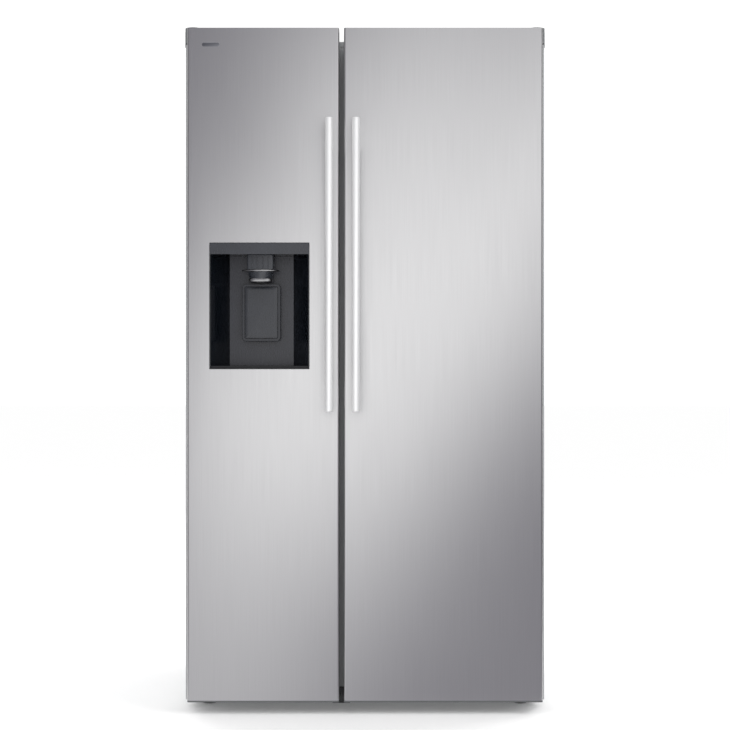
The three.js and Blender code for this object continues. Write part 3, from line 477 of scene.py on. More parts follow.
def recess_wall():
    """Grey plate over the rear wall of the recess."""
    half_width, thickness, off_centre = 83 * MM, 0.4 * MM, 0.5 * MM
    middle = CHUTE_X - off_centre
    wall = HOUSING.y1 - 2.55 * MM
    low, high = HOUSING.z0 + 9 * MM, CHUTE.z1 - 0.4 * MM
    face = rounded(middle - half_width, middle + half_width, low, high, 1.5 * MM)
    bm = bmesh.new()
    add_slab(bm, face, upright, wall, wall - thickness)
    piece("dispenser_rear_plate", bm, "grey_gloss", "freezer_door", edge=0.1, finish="grey_wall")


def chute_block():
    """Hollow block with four ribs on its front, between the control strip and the ring."""
    half, bore_half, end_wall, rib_half = 33 * MM, 24 * MM, 4 * MM, 1.2 * MM
    front, back = CHUTE.y0 + 4 * MM, CHUTE.y1 - 5 * MM
    bottom, top = CHUTE.z0 + RING_TOP * MM, CHUTE.z1
    outside = rounded(CHUTE_X - half, CHUTE_X + half, front, back, 4 * MM)
    inside = rounded(CHUTE_X - bore_half, CHUTE_X + bore_half, front + end_wall, back - end_wall, 3 * MM)
    bm = bmesh.new()
    add_hollow(bm, outside, inside, level, bottom, top)
    for offset in (-20, -7, 7, 20):
        x = CHUTE_X + offset * MM
        add_box(bm, x - rib_half, x + rib_half, front - 1.1 * MM, front + 0.5 * MM,
                bottom + 1 * MM, top - 6 * MM)
    piece("dispenser_chute_block", bm, "grey_gloss", "freezer_door", stands_for=["dispenser_chute"])


def chute_ring():
    """Flat ring with a lens shaped edge, as wide and deep as the chute."""
    bore = CHUTE_BORE * MM
    reach_x, reach_y = (CHUTE.x1 - CHUTE.x0) / 2 - bore, (CHUTE.y1 - CHUTE.y0) / 2 - bore
    lens = [(0, 0.1), (0.5, 0.0), (0.85, 0.1), (1.0, 0.3), (1.0, 0.7), (0.85, 0.9), (0.5, 1.0), (0, 1.0)]
    rings = []
    for out, up in lens:
        outline = oval(CHUTE_X, CHUTE_Y, bore + reach_x * out, bore + reach_y * out)
        rings.append(level(outline, CHUTE.z0 + (RING_BOTTOM + (RING_TOP - RING_BOTTOM) * up) * MM))
    bm = bmesh.new()
    add_loft(bm, rings, loop=True)
    piece("dispenser_chute_ring", bm, "chrome_trim", "freezer_door", edge=0, finish="satin_chrome")


def chute_body():
    """Tapered collar below the ring."""
    bm = bmesh.new()
    profile = [(CHUTE_BORE, 10), (29.2, 10), (31.3, 25), (31.3, RING_BOTTOM), (CHUTE_BORE, RING_BOTTOM)]
    add_turned(bm, profile, CHUTE_FOOT, loop=True)
    piece("dispenser_chute_body", bm, "grey_gloss", "freezer_door", edge=0)


def chute_rim():
    """Blunt chrome lip around the outlet, nearly square outside and round inside."""
    top = 9.7
    lip = [(28.6, 2.8), (29.4, 2.2), (30, 3.4), (30.2, 5.6), (30, 8), (29, top)]
    bore = oval(CHUTE_X, CHUTE_Y, CHUTE_BORE * MM, CHUTE_BORE * MM)
    rings = [level(squarish(CHUTE_X, CHUTE_Y, r * MM), CHUTE.z0 + z * MM) for r, z in lip]
    rings += [level(bore, CHUTE.z0 + z * MM) for z in (top, 2.8)]
    bm = bmesh.new()
    add_loft(bm, rings, loop=True)
    piece("dispenser_chute_rim", bm, "chrome_trim", "freezer_door", edge=0, finish="satin_chrome")


def chute_lining():
    """Thin black tube inside the outlet."""
    outer, inner, bottom, top = CHUTE_BORE - 0.1, CHUTE_BORE - 1.6, 3.2, 60
    bm = bmesh.new()
    add_turned(bm, [(outer, bottom), (outer, top), (inner, top), (inner, bottom)], CHUTE_FOOT, loop=True)
    piece("dispenser_chute_lining", bm, "gloss_black", "freezer_door", edge=0)


def paddle():
    """Push plate: a frame with a sunken field and a crowned pad in it. The frame's finish is a darker
    copy of the grey gloss: painted shade along its border.
    """
    box = span("dispenser_paddle")
    sides = (box.x0, box.x1, box.z0, box.z1)
    plate = bmesh.new()
    steps = [(0, (box.y1 - box.y0) / MM), (0, 2.6), (0.8, 1.8), (6.2, 1.8), (7, 3.4)]
    add_raised(plate, sides, 10, upright, box.y0, steps, least=3)
    # the frame takes the darker copy of the grey gloss, painted shade
    piece("dispenser_paddle_frame", plate, "grey_gloss", "paddle", edge=0, finish="grey_frame_painted_shade",
          stands_for=["dispenser_paddle"])
    pad = bmesh.new()
    add_raised(pad, sides, 10, upright, box.y0, [(7.6, 3.3), (7.6, 1.1), (9, 0.3), (16, 0)], least=3)
    piece("dispenser_paddle_pad", pad, "grey_gloss", "paddle", edge=0)


# ---------- Doors ----------
def front_path(inner, outer, front, inner_back, outer_back, radius):
    """Plan of a door's inner side, its round front corners and its outer side, as far back as given."""
    arcs = 6
    path = [(inner, inner_back)]
    for a, first in ((inner + radius, 180), (outer - radius, 270)):
        for step in range(arcs + 1):
            turn = math.radians(first + 90 * step / arcs)
            path.append((a + radius * math.cos(turn), front + radius + radius * math.sin(turn)))
    path.append((outer, outer_back))
    return path


def end_caps(door, side):
    """Plastic caps in both ends of a door, cut out round its hinge."""
    skin = span(f"{door}_door_skin")
    inset, sunk, thickness = 1.1 * MM, 0.5 * MM, 2.4 * MM
    inner, outer = sorted((side * skin.x0, side * skin.x1))
    back = skin.y1 - 2.5 * MM
    plan = front_path(inner + inset, outer - inset, skin.y0 + inset, back, NOTCH_FRONT,
                      EDGE_RADIUS - inset)
    plan += [(NOTCH_X, NOTCH_FRONT), (NOTCH_X, back)]
    plan = [(side * a, b) for a, b in plan]
    for end, low in (("top", skin.z1 - sunk - thickness), ("bottom", skin.z0 + sunk)):
        bm = bmesh.new()
        add_slab(bm, plan, level, low, low + thickness)
        piece(f"{door}_door_cap_{end}", bm, "dark_plastic", f"{door}_door", finish="grey_cap")


def foot_dark_reflection(door):
    """Thin dark strip round the front of a door's lower edge: painted reflection of the shade under the
    door, which the bent lower edge of the skin mirrors.
    """
    skin = span(f"{door}_door_skin")
    proud, height, back = 0.3 * MM, 4 * MM, skin.y0 + 9 * MM
    inside = front_path(skin.x0, skin.x1, skin.y0, back, back, EDGE_RADIUS)
    outside = front_path(skin.x0 - proud, skin.x1 + proud, skin.y0 - proud, back, back,
                         EDGE_RADIUS + proud)
    bm = bmesh.new()
    add_slab(bm, outside + inside[::-1], level, skin.z0, skin.z0 + height)
    # dark plastic strip: painted reflection of the shade under the door
    piece(f"{door}_door_foot_trim", bm, "dark_plastic", f"{door}_door", edge=0)


def mullion_foot():
    """Dark cap over the front rail below the cover between the compartments. Its near-black colour is
    painted shade at the foot of the gap between the doors.
    """
    cover = span("mullion_cover")
    rail_bottom = span("base_frame").z0 + 1 * MM
    seal_bottom = span("fridge_gasket").z0 - 2 * MM
    bm = bmesh.new()
    add_raised(bm, (cover.x0, cover.x1, rail_bottom, seal_bottom), 3, upright, cover.y0,
               [(0, -0.05), (0, -1.6), (0.8, -2.2)])
    # near-black finish: painted shade at the foot of the gap
    piece("mullion_foot_painted_shade_cap", bm, "dark_plastic", "cabinet", edge=0.2, finish="fan_plastic")


def gasket(door):
    """Magnetic seal: a flat sealing face on two folds of bellows, all round the door."""
    box = span(f"{door}_gasket")
    depth = (box.y1 - box.y0) / MM
    section = [(3, 0), (15, 0), (15, 0.14), (11.5, 0.26), (14.5, 0.4), (11.5, 0.54), (17.6, 0.68),
               (17.6, 0.97), (0.4, 0.97), (0.4, 0.68), (6.5, 0.54), (3.5, 0.4), (6.5, 0.26), (3, 0.14)]
    steps = [(inset, depth * part) for inset, part in section]
    bm = bmesh.new()
    add_raised(bm, (box.x0, box.x1, box.z0, box.z1), 20, upright, box.y0, steps,
               arcs=6, least=0, loop=True)
    piece(f"{door}_seal", bm, "gasket_rubber", f"{door}_door", edge=0, stands_for=[f"{door}_gasket"])


def badge():
    """Small blank plate near the top of the left door."""
    skin = span("freezer_door_skin")
    x, z = skin.x0 + 59 * MM, DOOR.z1 - 42 * MM
    half_width, half_height = 22, 5
    rings = []
    for inset, out in ((0, 0.05), (0, 0.5), (0.5, 0.9), (1.4, 1.1)):
        half_x, half_z = (half_width - inset) * MM, (half_height - inset) * MM
        outline = rounded(x - half_x, x + half_x, z - half_z, z + half_z, 0.98 * half_z)
        rings.append(upright(outline, skin.y0 - out * MM))
    bm = bmesh.new()
    add_loft(bm, rings)
    piece("door_badge", bm, "chrome_trim", "freezer_door", edge=0, finish="badge_metal")


# ---------- Storage ----------
def add_tray(bm, x0, x1, y0, y1, z0, z1, corner):
    """Thin moulded tray, from its floor up to a rolled lip and down its inside."""
    wall, lip, height = 2.2, 8.0, (z1 - z0) / MM
    steps = [(9, 0), (4, 1.4), (2.2, 5), (1.2, height - lip), (0, height - lip + 0.8), (0, height - 0.8),
             (0.8, height), (wall + 0.6, height), (wall + 1.4, height - 0.8), (wall + 2.4, 9),
             (wall + 4.4, 4.4), (wall + 10, wall)]
    add_raised(bm, (x0, x1, y0, y1), corner, level, z0, steps, arcs=5, least=1.5)


def add_floor_ribs(bm, box, count, half, front, back, height):
    """Evenly spaced ribs along a tray's floor, so far from its front and back."""
    for x in spread(box.x0, box.x1, count + 2)[1:-1]:
        add_box(bm, x - half, x + half, box.y0 + front, box.y1 - back, box.z0 + 2 * MM, box.z0 + height)


def door_bin(node, body):
    """Clear bin with a rolled lip, floor ribs and a satin rail along its front."""
    box = span(node)
    tub = bmesh.new()
    add_tray(tub, *box, 16)
    add_floor_ribs(tub, box, 7, 0.8 * MM, 14 * MM, 14 * MM, 4 * MM)
    piece(f"{node}_tub", tub, "clear_plastic", body, edge=0.4, stands_for=[node])
    low, high = box.z1 - 30 * MM, box.z1 - 16 * MM
    side_gap, slope, back, front = 18 * MM, 1.5 * MM, box.y1 - 1.0 * MM, box.y1 - 0.1 * MM
    rail = bmesh.new()
    section = [(back, low), (front, low + slope), (front, high - slope), (back, high)]
    add_slab(rail, section, sideways, box.x0 + side_gap, box.x1 - side_gap)
    piece(f"{node}_rail", rail, "clear_plastic", body, edge=0.3, finish="satin_bar")


def drawer(node):
    """Clear drawer: a tub behind a crowned face with a finger lip."""
    box = span(node)
    tub = bmesh.new()
    add_tray(tub, box.x0 + 4 * MM, box.x1 - 4 * MM, box.y0 + 8.3 * MM, box.y1,
             box.z0, box.z1 - 6 * MM, 18)
    add_floor_ribs(tub, box, 9, 0.9 * MM, 30 * MM, 20 * MM, 4.2 * MM)
    piece(f"{node}_tub", tub, "clear_plastic", node, edge=0.4, stands_for=[node])
    face = bmesh.new()
    add_raised(face, (box.x0, box.x1, box.z0, box.z1), 9, upright, box.y0,
               [(0, 8.2), (0, 4.5), (1.2, 3.2), (5, 2.6)], arcs=5)
    section = [(3, 8), (0.6, 9), (0, 12), (0.4, 26), (1.6, 26), (1.6, 13), (3, 12)]  # depth and drop
    lip = [(box.y0 + depth * MM, box.z1 - drop * MM) for depth, drop in section]
    middle, reach = (box.x0 + box.x1) / 2, 75 * MM
    add_slab(face, lip, sideways, middle - reach, middle + reach)
    piece(f"{node}_face", face, "clear_plastic", node, edge=0.3)


def shelf(node):
    """Glass plate between a rounded front trim, a rear trim and two side rails."""
    x0, x1, y0, y1, z0, _ = span(node)
    plate_bottom = z0 + 8 * MM
    plate_top = plate_bottom + 4 * MM
    trim_depth, rail_width = 18 * MM, 9 * MM
    glass = bmesh.new()
    add_box(glass, x0 + 4 * MM, x1 - 4 * MM, y0 + 6 * MM, y1 - 4 * MM, plate_bottom + 0.4 * MM, plate_top)
    piece(f"{node}_glass", glass, "clear_plastic", "cabinet", edge=0.4, finish="shelf_glass",
          stands_for=[node])
    trim = bmesh.new()
    section = [(0, 3), (0.8, 0.6), (3, 0), (9, 0), (11, 1), (11.5, 8), (18, 8), (18, 8.3), (11.5, 12.2),
               (18, 12.2), (18, 13), (10, 14.5), (3, 15.8), (0.8, 15.2), (0, 13)]
    front = [(y0 + a * MM, z0 + b * MM) for a, b in section]
    add_slab(trim, front, sideways, x0 + 12 * MM, x1 - 12 * MM)
    for left, right in ((x0, x0 + rail_width), (x1 - rail_width, x1)):
        add_box(trim, left, right, y0 + trim_depth, y1, plate_bottom, plate_top + 1.6 * MM)
        add_box(trim, left + 1.5 * MM, right, y0 + 2 * MM, y0 + trim_depth,
                plate_bottom, plate_top + 2.5 * MM)
    add_box(trim, x0 + rail_width, x1 - rail_width, y1 - 10 * MM, y1, plate_bottom, plate_top + 6 * MM)
    piece(f"{node}_trim", trim, "clear_plastic", "cabinet", edge=0.5, finish="white_liner")


# ---------- Fittings inside the compartments ----------
def fridge_lamp():
    """Ribbed lens in a shallow bezel under the fridge's ceiling."""
    x, y = FRIDGE_MIDDLE + 60 * MM, CASE.y0 + 194 * MM
    half_x, half_y = 62 * MM, 30 * MM
    bezel = bmesh.new()
    add_raised(bezel, (x - half_x, x + half_x, y - half_y, y + half_y), 12, level, CEILING,
               [(0, 0), (0, -3), (3, -5), (8, -5), (9, -3.5)], least=3)
    piece("fridge_lamp_bezel", bezel, "white_liner", "cabinet", edge=0.3)
    lens = bmesh.new()
    ribs, pitch, reach = 11, 9.4 * MM, 19 * MM
    for rib in range(ribs):
        section = oval(x + (rib - ribs // 2) * pitch, CEILING - 4.4 * MM, 4.6 * MM, 2.2 * MM, 16)
        add_slab(lens, section, upright, y - reach, y + reach)
    piece("fridge_lamp_lens", lens, "white_liner", "cabinet", edge=0, finish="lamp_lens")


def add_frame(bm, x0, x1, z0, z1, y, depth):
    """Rounded frame that stands out from y towards the front."""
    width = 2 * MM
    outer = rounded(x0, x1, z0, z1, 4 * MM)
    inner = rounded(x0 + width, x1 - width, z0 + width, z1 - width, 2 * MM)
    add_hollow(bm, outer, inner, upright, y, y - depth)


def add_outlet(bm, x, z, y):
    """Framed air outlet with three slanted slats, on a panel whose face is at y."""
    half_x, half_z, depth = 24 * MM, 14 * MM, 2.2 * MM
    add_frame(bm, x - half_x, x + half_x, z - half_z, z + half_z, y, depth)
    reach, pitch, front = 22 * MM, 7 * MM, y - 2.6 * MM
    for row in (-1, 0, 1):
        at = z + row * pitch
        slat = [(front, at - 1.5 * MM), (y, at + 1.5 * MM), (y, at + 2.8 * MM), (front, at - 0.2 * MM)]
        add_slab(bm, slat, sideways, x - reach, x + reach)


def air_tower():
    """Raised panel up the fridge's rear wall with pairs of louvred outlets."""
    half = 75 * MM
    low, high = span("crisper_cover").z0 - 130 * MM, CEILING - 53 * MM
    duct = span("fridge_liner").y1 - 16 * MM
    bm = bmesh.new()
    add_raised(bm, (FRIDGE_MIDDLE - half, FRIDGE_MIDDLE + half, low, high), 12, upright, duct,
               [(0, 0), (1.5, -3), (6, -5.2)])
    for node in FRIDGE_SHELVES:
        for offset in (-34 * MM, 34 * MM):
            add_outlet(bm, FRIDGE_MIDDLE + offset, span(node).z1 + 62 * MM, duct - 5 * MM)
    piece("fridge_air_tower", bm, "white_liner", "cabinet", edge=0.5)


def control_box():
    """Housing under the fridge's ceiling."""
    x0, y0 = FRIDGE_LEFT + 60 * MM, CASE.y0 + 144 * MM
    x1, y1 = x0 + 150 * MM, y0 + 130 * MM
    bm = bmesh.new()
    add_raised(bm, (x0, x1, y0, y1), 16, level, CEILING, [(0, 0), (0, -18), (4, -26), (14, -30)])
    piece("fridge_control_box", bm, "white_liner", "cabinet", edge=0.4)
    control_knob((x0 + x1) / 2, (y0 + y1) / 2 - 20 * MM, CEILING - 30 * MM)


def control_knob(x, y, z):
    """Fluted knob with a pointer across it, hanging from z."""
    radius, flutes = 17, 24
    bm = bmesh.new()
    add_turned(bm, [(radius, 0.2), (radius, -7), (15.5, -8.5), (13, -9)], (x, y, z))
    add_box(bm, x - 2 * MM, x + 2 * MM, y - 14 * MM, y + 14 * MM, z - 13 * MM, z - 8.5 * MM)
    for a, b in oval(x, y, radius * MM, radius * MM, flutes):
        add_turned(bm, [(0.9, -0.5), (0.9, -7)], (a, b, z), count=8)
    piece("fridge_control_knob", bm, "white_liner", "cabinet", edge=0.3, finish="grey_cap")


def ice_maker_cover():
    """Crowned front cover with five ribs."""
    box = span("ice_maker")
    low = box.z1 - 100 * MM
    side_gap, top_gap, rib_gap = 6 * MM, 4 * MM, 40 * MM
    bm = bmesh.new()
    add_raised(bm, (box.x0 + side_gap, box.x1 - side_gap, low, box.z1 - top_gap), 10, upright, box.y0,
               [(0, -0.05), (0, -3), (1.5, -4.6), (4, -5)])
    for row in range(5):
        z = low + (24 + row * 10) * MM
        add_raised(bm, (box.x0 + rib_gap, box.x1 - rib_gap, z, z + 3 * MM), 1, upright, box.y0,
                   [(0, -4.8), (0.4, -6.2)])
    piece("ice_maker_cover", bm, "white_liner", "cabinet", edge=0.3)


def ice_maker_arm():
    """Wire arm that feels how full the ice bin is."""
    box = span("ice_maker")
    x, front, back = box.x1 - 22 * MM, box.y0 + 30 * MM, box.y0 + 220 * MM
    high = box.z1 - 94 * MM
    low = high - 56 * MM
    corners = [(x, front, high), (x, front, low), (x, back, low), (x, back, high)]
    bm = bmesh.new()
    add_tube(bm, bent(corners, 14 * MM), 1.6 * MM)
    piece("ice_maker_arm", bm, "bare_aluminium", "cabinet", edge=0)


# ---------- Machine room ----------
SHELL = span("compressor")
SHELL_X, SHELL_Y, SHELL_Z = SHELL.x1 - 100 * MM, (SHELL.y0 + SHELL.y1) / 2, SHELL.z0 + 12 * MM


def compressor_shell():
    """Domed steel shell with a welded seam, on a foot plate with two stiffening bars."""
    bm = bmesh.new()
    profile = [(20, 3), (50, 3.6), (65, 8), (74, 16), (78.5, 32), (80, 62), (84, 63.4), (84, 69.4),
               (79.6, 71), (78.6, 88), (74, 106), (65, 122), (50, 134), (30, 141.5), (10, 144)]
    add_loft(bm, [level(oval(SHELL_X, SHELL_Y, r * 1.1 * MM, r * 0.9 * MM, 64), SHELL_Z + up * MM)
                  for r, up in profile])
    half_x, half_y, bar_half_x, bar_half_y = 100 * MM, 60 * MM, 3 * MM, 40 * MM
    plate = rounded(SHELL_X - half_x, SHELL_X + half_x, SHELL_Y - half_y, SHELL_Y + half_y, 16 * MM)
    add_slab(bm, plate, level, SHELL_Z - 8 * MM, SHELL_Z - 5 * MM)
    for x in (SHELL_X - 52 * MM, SHELL_X + 52 * MM):
        add_box(bm, x - bar_half_x, x + bar_half_x, SHELL_Y - bar_half_y, SHELL_Y + bar_half_y,
                SHELL_Z - 5 * MM, SHELL_Z + 14 * MM)
    piece("compressor_shell", bm, "black_enamel", "cabinet", edge=0.6, stands_for=["compressor"])


def compressor_mounts():
    """Waisted rubber feet at the corners of the foot plate."""
    bm = bmesh.new()
    section = [(9, -12), (10, -10), (8, -8), (10, -4), (9, -1), (5, 1)]
    for x in (SHELL_X - 88 * MM, SHELL_X + 88 * MM):
        for y in (SHELL_Y - 48 * MM, SHELL_Y + 48 * MM):
            add_turned(bm, section, (x, y, SHELL_Z), count=20)
    piece("compressor_mounts", bm, "gasket_rubber", "cabinet", edge=0, finish="fan_plastic")


def compressor_electrics():
    """Terminal box on the shell's side, with four ribs."""
    left, half, rib_half = SHELL_X - 105 * MM, 26 * MM, 16 * MM
    sides = (SHELL_Y - half, SHELL_Y + half, SHELL_Z + 16 * MM, SHELL_Z + 66 * MM)
    bm = bmesh.new()
    add_raised(bm, sides, 5, sideways, left, [(0, 32), (0, 3), (1.6, 1), (4, 0)])
    for row in range(4):
        low = SHELL_Z + (26 + row * 9) * MM
        add_box(bm, left - 0.8 * MM, left + 2 * MM, SHELL_Y - rib_half, SHELL_Y + rib_half,
                low, low + 2 * MM)
    piece("compressor_electrics", bm, "dark_plastic", "cabinet", edge=0.4)


def compressor_tubes():
    """Discharge tube to the coil, suction tube upwards, and the closed filling tube."""
    routes = [
        (3.0, [(70, -20, 90), (118, -20, 90), (118, -20, 18), (175, -20, 18)]),
        (4.0, [(66, 26, 98), (128, 26, 98), (128, 26, 225)]),
        (3.0, [(-40, 56, 70), (-40, 84, 70), (-40, 84, 128)]),
    ]
    bm = bmesh.new()
    for radius, route in routes:
        path = [(SHELL_X + x * MM, SHELL_Y + y * MM, SHELL_Z + z * MM) for x, y, z in route]
        add_tube(bm, bent(path, 14 * MM), radius * MM, 12)
    piece("compressor_tubes", bm, "copper_tube", "cabinet", edge=0)


def condenser():
    """Tube bent to and fro, with fine upright wires welded on both its faces and two brackets."""
    x0, x1, y0, y1, z0, z1 = span("condenser_coil")
    tube, bend, rows = 6 * MM, 25 * MM, 4
    y = (y0 + y1) / 2
    left, right, bottom = x0 + tube, x1 - tube, z0 + 20 * MM
    corners = [(left + bend, y, bottom)]
    for row in range(rows - 1):
        end = left if row % 2 else right
        corners += [(end, y, bottom + row * 2 * bend), (end, y, bottom + (row + 1) * 2 * bend)]
    corners.append((left + bend, y, bottom + (rows - 1) * 2 * bend))
    coil = bmesh.new()
    add_tube(coil, bent(corners, bend * 0.98, 8), tube * 0.75, 14)
    piece("condenser_tube", coil, "copper_tube", "cabinet", edge=0, stands_for=["condenser_coil"])
    wires = bmesh.new()
    low, high = bottom - 12 * MM, bottom + rows * 2 * bend - 36 * MM
    for x in spread(left + bend + 8 * MM, right - bend - 8 * MM, 24):
        for at in (y - tube * 0.9, y + tube * 0.9):
            add_tube(wires, [(x, at, low), (x, at, high)], 0.9 * MM, 6)
    for x in (left + bend + 30 * MM, right - bend - 30 * MM):
        add_box(wires, x - 6 * MM, x + 6 * MM, y - 8.5 * MM, y - 6.5 * MM, z0, z1)
    piece("condenser_wires", wires, "black_enamel", "cabinet", edge=0)


def fan(node, axis, hub, radius, depth):
    """Hub with a domed cap and swept blades, wider and flatter at their tips. Sizes in millimetres."""
    box = span(node)
    centre = Vector(((box.x0 + box.x1) / 2, (box.y0 + box.y1) / 2, (box.z0 + box.z1) / 2))
    bm = bmesh.new()
    cap = [(0.4, -0.5), (0.85, -0.46), (1, -0.34), (1, 0.5)]
    add_turned(bm, [(hub * r, depth * at) for r, at in cap], centre, axis)
    blades, stations, root = 5, 6, hub * 0.9
    section = [(-0.5, 0), (-0.2, 0.035), (0.2, 0.03), (0.5, 0.0), (0.2, -0.012), (-0.2, -0.006)]
    for blade in range(blades):
        rings = []
        for part in spread(0, 1, stations):
            reach = root + (radius - root) * part
            chord = radius * (0.42 + 0.30 * part)
            pitch = math.radians(58 - 22 * part)
            sweep = 2 * math.pi * blade / blades + 0.30 * part ** 2
            ring = []
            for along, thick in section:
                turn = sweep + chord * along * math.sin(pitch) / reach
                axial = chord * along * math.cos(pitch) * 0.62 + thick * radius
                a, b = reach * math.cos(turn), reach * math.sin(turn)
                offset = (axial, a, b) if axis == "x" else (a, axial, b)
                ring.append(centre + Vector(offset) * MM)
            rings.append(ring)
        add_loft(bm, rings)
    piece(f"{node}_wheel", bm, "dark_plastic", node, edge=0, finish="fan_plastic", stands_for=[node])


# ---------- Rear ----------
REAR = span("rear_panel")


def rear_fields():
    """Two rows of three pressed fields."""
    columns, gap = 3, 46 * MM
    width = (REAR.x1 - REAR.x0 - gap * (columns + 1)) / columns
    heights = [(REAR.z0 + 60 * MM, REAR.z0 + 640 * MM), (REAR.z0 + 700 * MM, REAR.z1 - 60 * MM)]
    bm = bmesh.new()
    for column in range(columns):
        left = REAR.x0 + gap + column * (width + gap)
        for low, high in heights:
            add_raised(bm, (left, left + width, low, high), 24, upright, REAR.y1,
                       [(0, 0.02), (1.2, 0.5), (4.5, 2.4), (6, 2.8)], arcs=6)
    piece("rear_panel_fields", bm, "zinc_plate", "cabinet", edge=0)


def rear_seams():
    """Folded seams along the panel's top and bottom."""
    face = REAR.y1 + 0.05 * MM
    bm = bmesh.new()
    add_box(bm, REAR.x0, REAR.x1, face, CASE.y1 - 0.05 * MM, REAR.z1 - 4 * MM, CASE.z1 - 1.4 * MM)
    add_box(bm, REAR.x0, REAR.x1, face, REAR.y1 + 1.2 * MM, REAR.z0 - 5 * MM, REAR.z0 + 6 * MM)
    piece("rear_panel_seams", bm, "zinc_plate", "cabinet", edge=0.3)


def rear_screws():
    """Pan head screws round the panel and along the machine room's cover."""
    head = [(3.9, 0), (3.9, 0.8), (3.2, 1.8), (1.9, 2.3), (1.5, 1.2), (0.4, 1.0)]  # with a sunken drive
    margin = 14 * MM
    cover = span("compressor_cover")
    cover_face = REAR.y1 + 2.5 * MM
    places = [(x, REAR.y1, z) for x in (REAR.x0 + margin, REAR.x1 - margin)
              for z in spread(REAR.z0 + 30 * MM, REAR.z1 - 30 * MM, 6)]
    places += [(x, REAR.y1, REAR.z1 - margin) for x in spread(REAR.x0, REAR.x1, 6)[1:-1]]
    places += [(x, cover_face, z) for x in spread(cover.x0 + 16 * MM, cover.x1 - 16 * MM, 6)
               for z in (cover.z0 + 12 * MM, cover.z1 - 12 * MM)]
    bm = bmesh.new()
    for place in places:
        add_turned(bm, head, place, "y", count=20)
    piece("rear_screws", bm, "zinc_plate", "cabinet", edge=0, finish="bare_aluminium")


def inlet_pins():
    """Three contact pins in the socket for the mains lead."""
    box = span("power_inlet")
    middle_x, middle_z = (box.x0 + box.x1) / 2, (box.z0 + box.z1) / 2
    half_x, half_z = 1 * MM, 2 * MM
    bm = bmesh.new()
    for dx, dz in ((-7, -2), (0, 2), (7, -2)):
        x, z = middle_x + dx * MM, middle_z + dz * MM
        add_box(bm, x - half_x, x + half_x, box.y0 + 15 * MM, box.y1 - 4 * MM, z - half_z, z + half_z)
    piece("power_inlet_pins", bm, "chrome_trim", "cabinet", edge=0.3)


# ---------- The whole refrigerator ----------
for name in frame["nodes"]:
    dress(name)

control_strip()
recess_wall()
chute_block()
chute_ring()
chute_body()
chute_rim()
chute_lining()
paddle()
badge()
mullion_foot()
for door, side in (("freezer", -1), ("fridge", 1)):
    end_caps(door, side)
    foot_dark_reflection(door)
    gasket(door)
    for node in DOOR_BINS[door]:
        door_bin(node, f"{door}_door")
for node in DRAWERS:
    drawer(node)
for node in ["freezer_shelf", *FRIDGE_SHELVES]:
    shelf(node)
fridge_lamp()
air_tower()
control_box()
ice_maker_cover()
ice_maker_arm()
compressor_shell()
compressor_mounts()
compressor_electrics()
compressor_tubes()
condenser()
fan("condenser_fan", "x", 18, 62, 24)
fan("evaporator_fan", "y", 16, 50, 16)
rear_fields()
rear_seams()
rear_screws()
inlet_pins()


# ---------- Stage, lights and camera ----------
CAMERA_DISTANCE = 4.0  # in front of the doors
VIEW_WIDTH = 1.8177  # what the frame shows across, at the doors
SENSOR = 36.0
SIDE_LIGHT, TOP_LIGHT, BACKGROUND = 0.58, 1.15, 1.12  # strengths of the world
LAMPS = {
    # place, aim, size and power
    "key": ((3.2, -2.4, 2.8), (0.0, 0.0, 0.8), 2.0, 38.0),
    "fill": ((-3.0, -2.2, 1.6), (0.0, 0.0, 0.9), 2.0, 10.0),
    "rear_left": ((-2.6, 3.0, 2.2), (0.0, 0.3, 0.9), 1.6, 42.0),
    "rear_right": ((2.8, 1.6, 2.6), (0.0, 0.3, 0.9), 1.6, 36.0),
}
CARD_Y = DOOR.y0 - 0.72  # the card that the doors mirror
CARD_HALF = 1.4  # half its width
CARD_FOOT, CARD_TOP = 0.004, 2.6
CARD_BASE = 0.255  # light from the plain part of the card
CARD_TINT = (0.98, 0.945, 1.075, 1.0)  # its colour, slightly violet
SPOT_TINT = (1.006, 1.004, 0.978, 1.0)  # slightly warm, which evens out where it is bright
CARD_SPOTS = [
    # centre x and z, reach along and across, lean in degrees, strength
    (-0.12, 1.06, 0.83, 0.25, 65.0, 1.02),
    (0.71, 1.54, 1.00, 0.17, 57.0, 1.00),
    (-0.44, 0.80, 0.38, 0.26, -23.0, 0.20),
    (0.45, 0.02, 0.30, 0.20, 0.0, 0.07),
    (0.25, 1.36, 0.28, 0.35, 0.0, 0.10),
    (0.58, 0.94, 0.10, 0.18, 0.0, 0.18),
    (-0.15, 1.74, 0.22, 0.14, 0.0, 0.09),
]
FLAG_BACK = DOOR.y0 + 0.25
WING_BACK, WING_TOP = DOOR.y0 + 0.9, 0.6  # lower flag behind the right one
FLAG_BOTTOM = 0.01


def add_camera():
    data = bpy.data.cameras.new("camera")
    data.sensor_width = SENSOR
    data.lens = SENSOR * CAMERA_DISTANCE / VIEW_WIDTH
    camera = bpy.data.objects.new("camera", data)
    camera.location = (0.0, DOOR.y0 - CAMERA_DISTANCE, (DOOR.z0 + DOOR.z1) / 2)
    camera.rotation_euler = (math.radians(90), 0.0, 0.0)
    bpy.context.scene.collection.objects.link(camera)
    bpy.context.scene.camera = camera


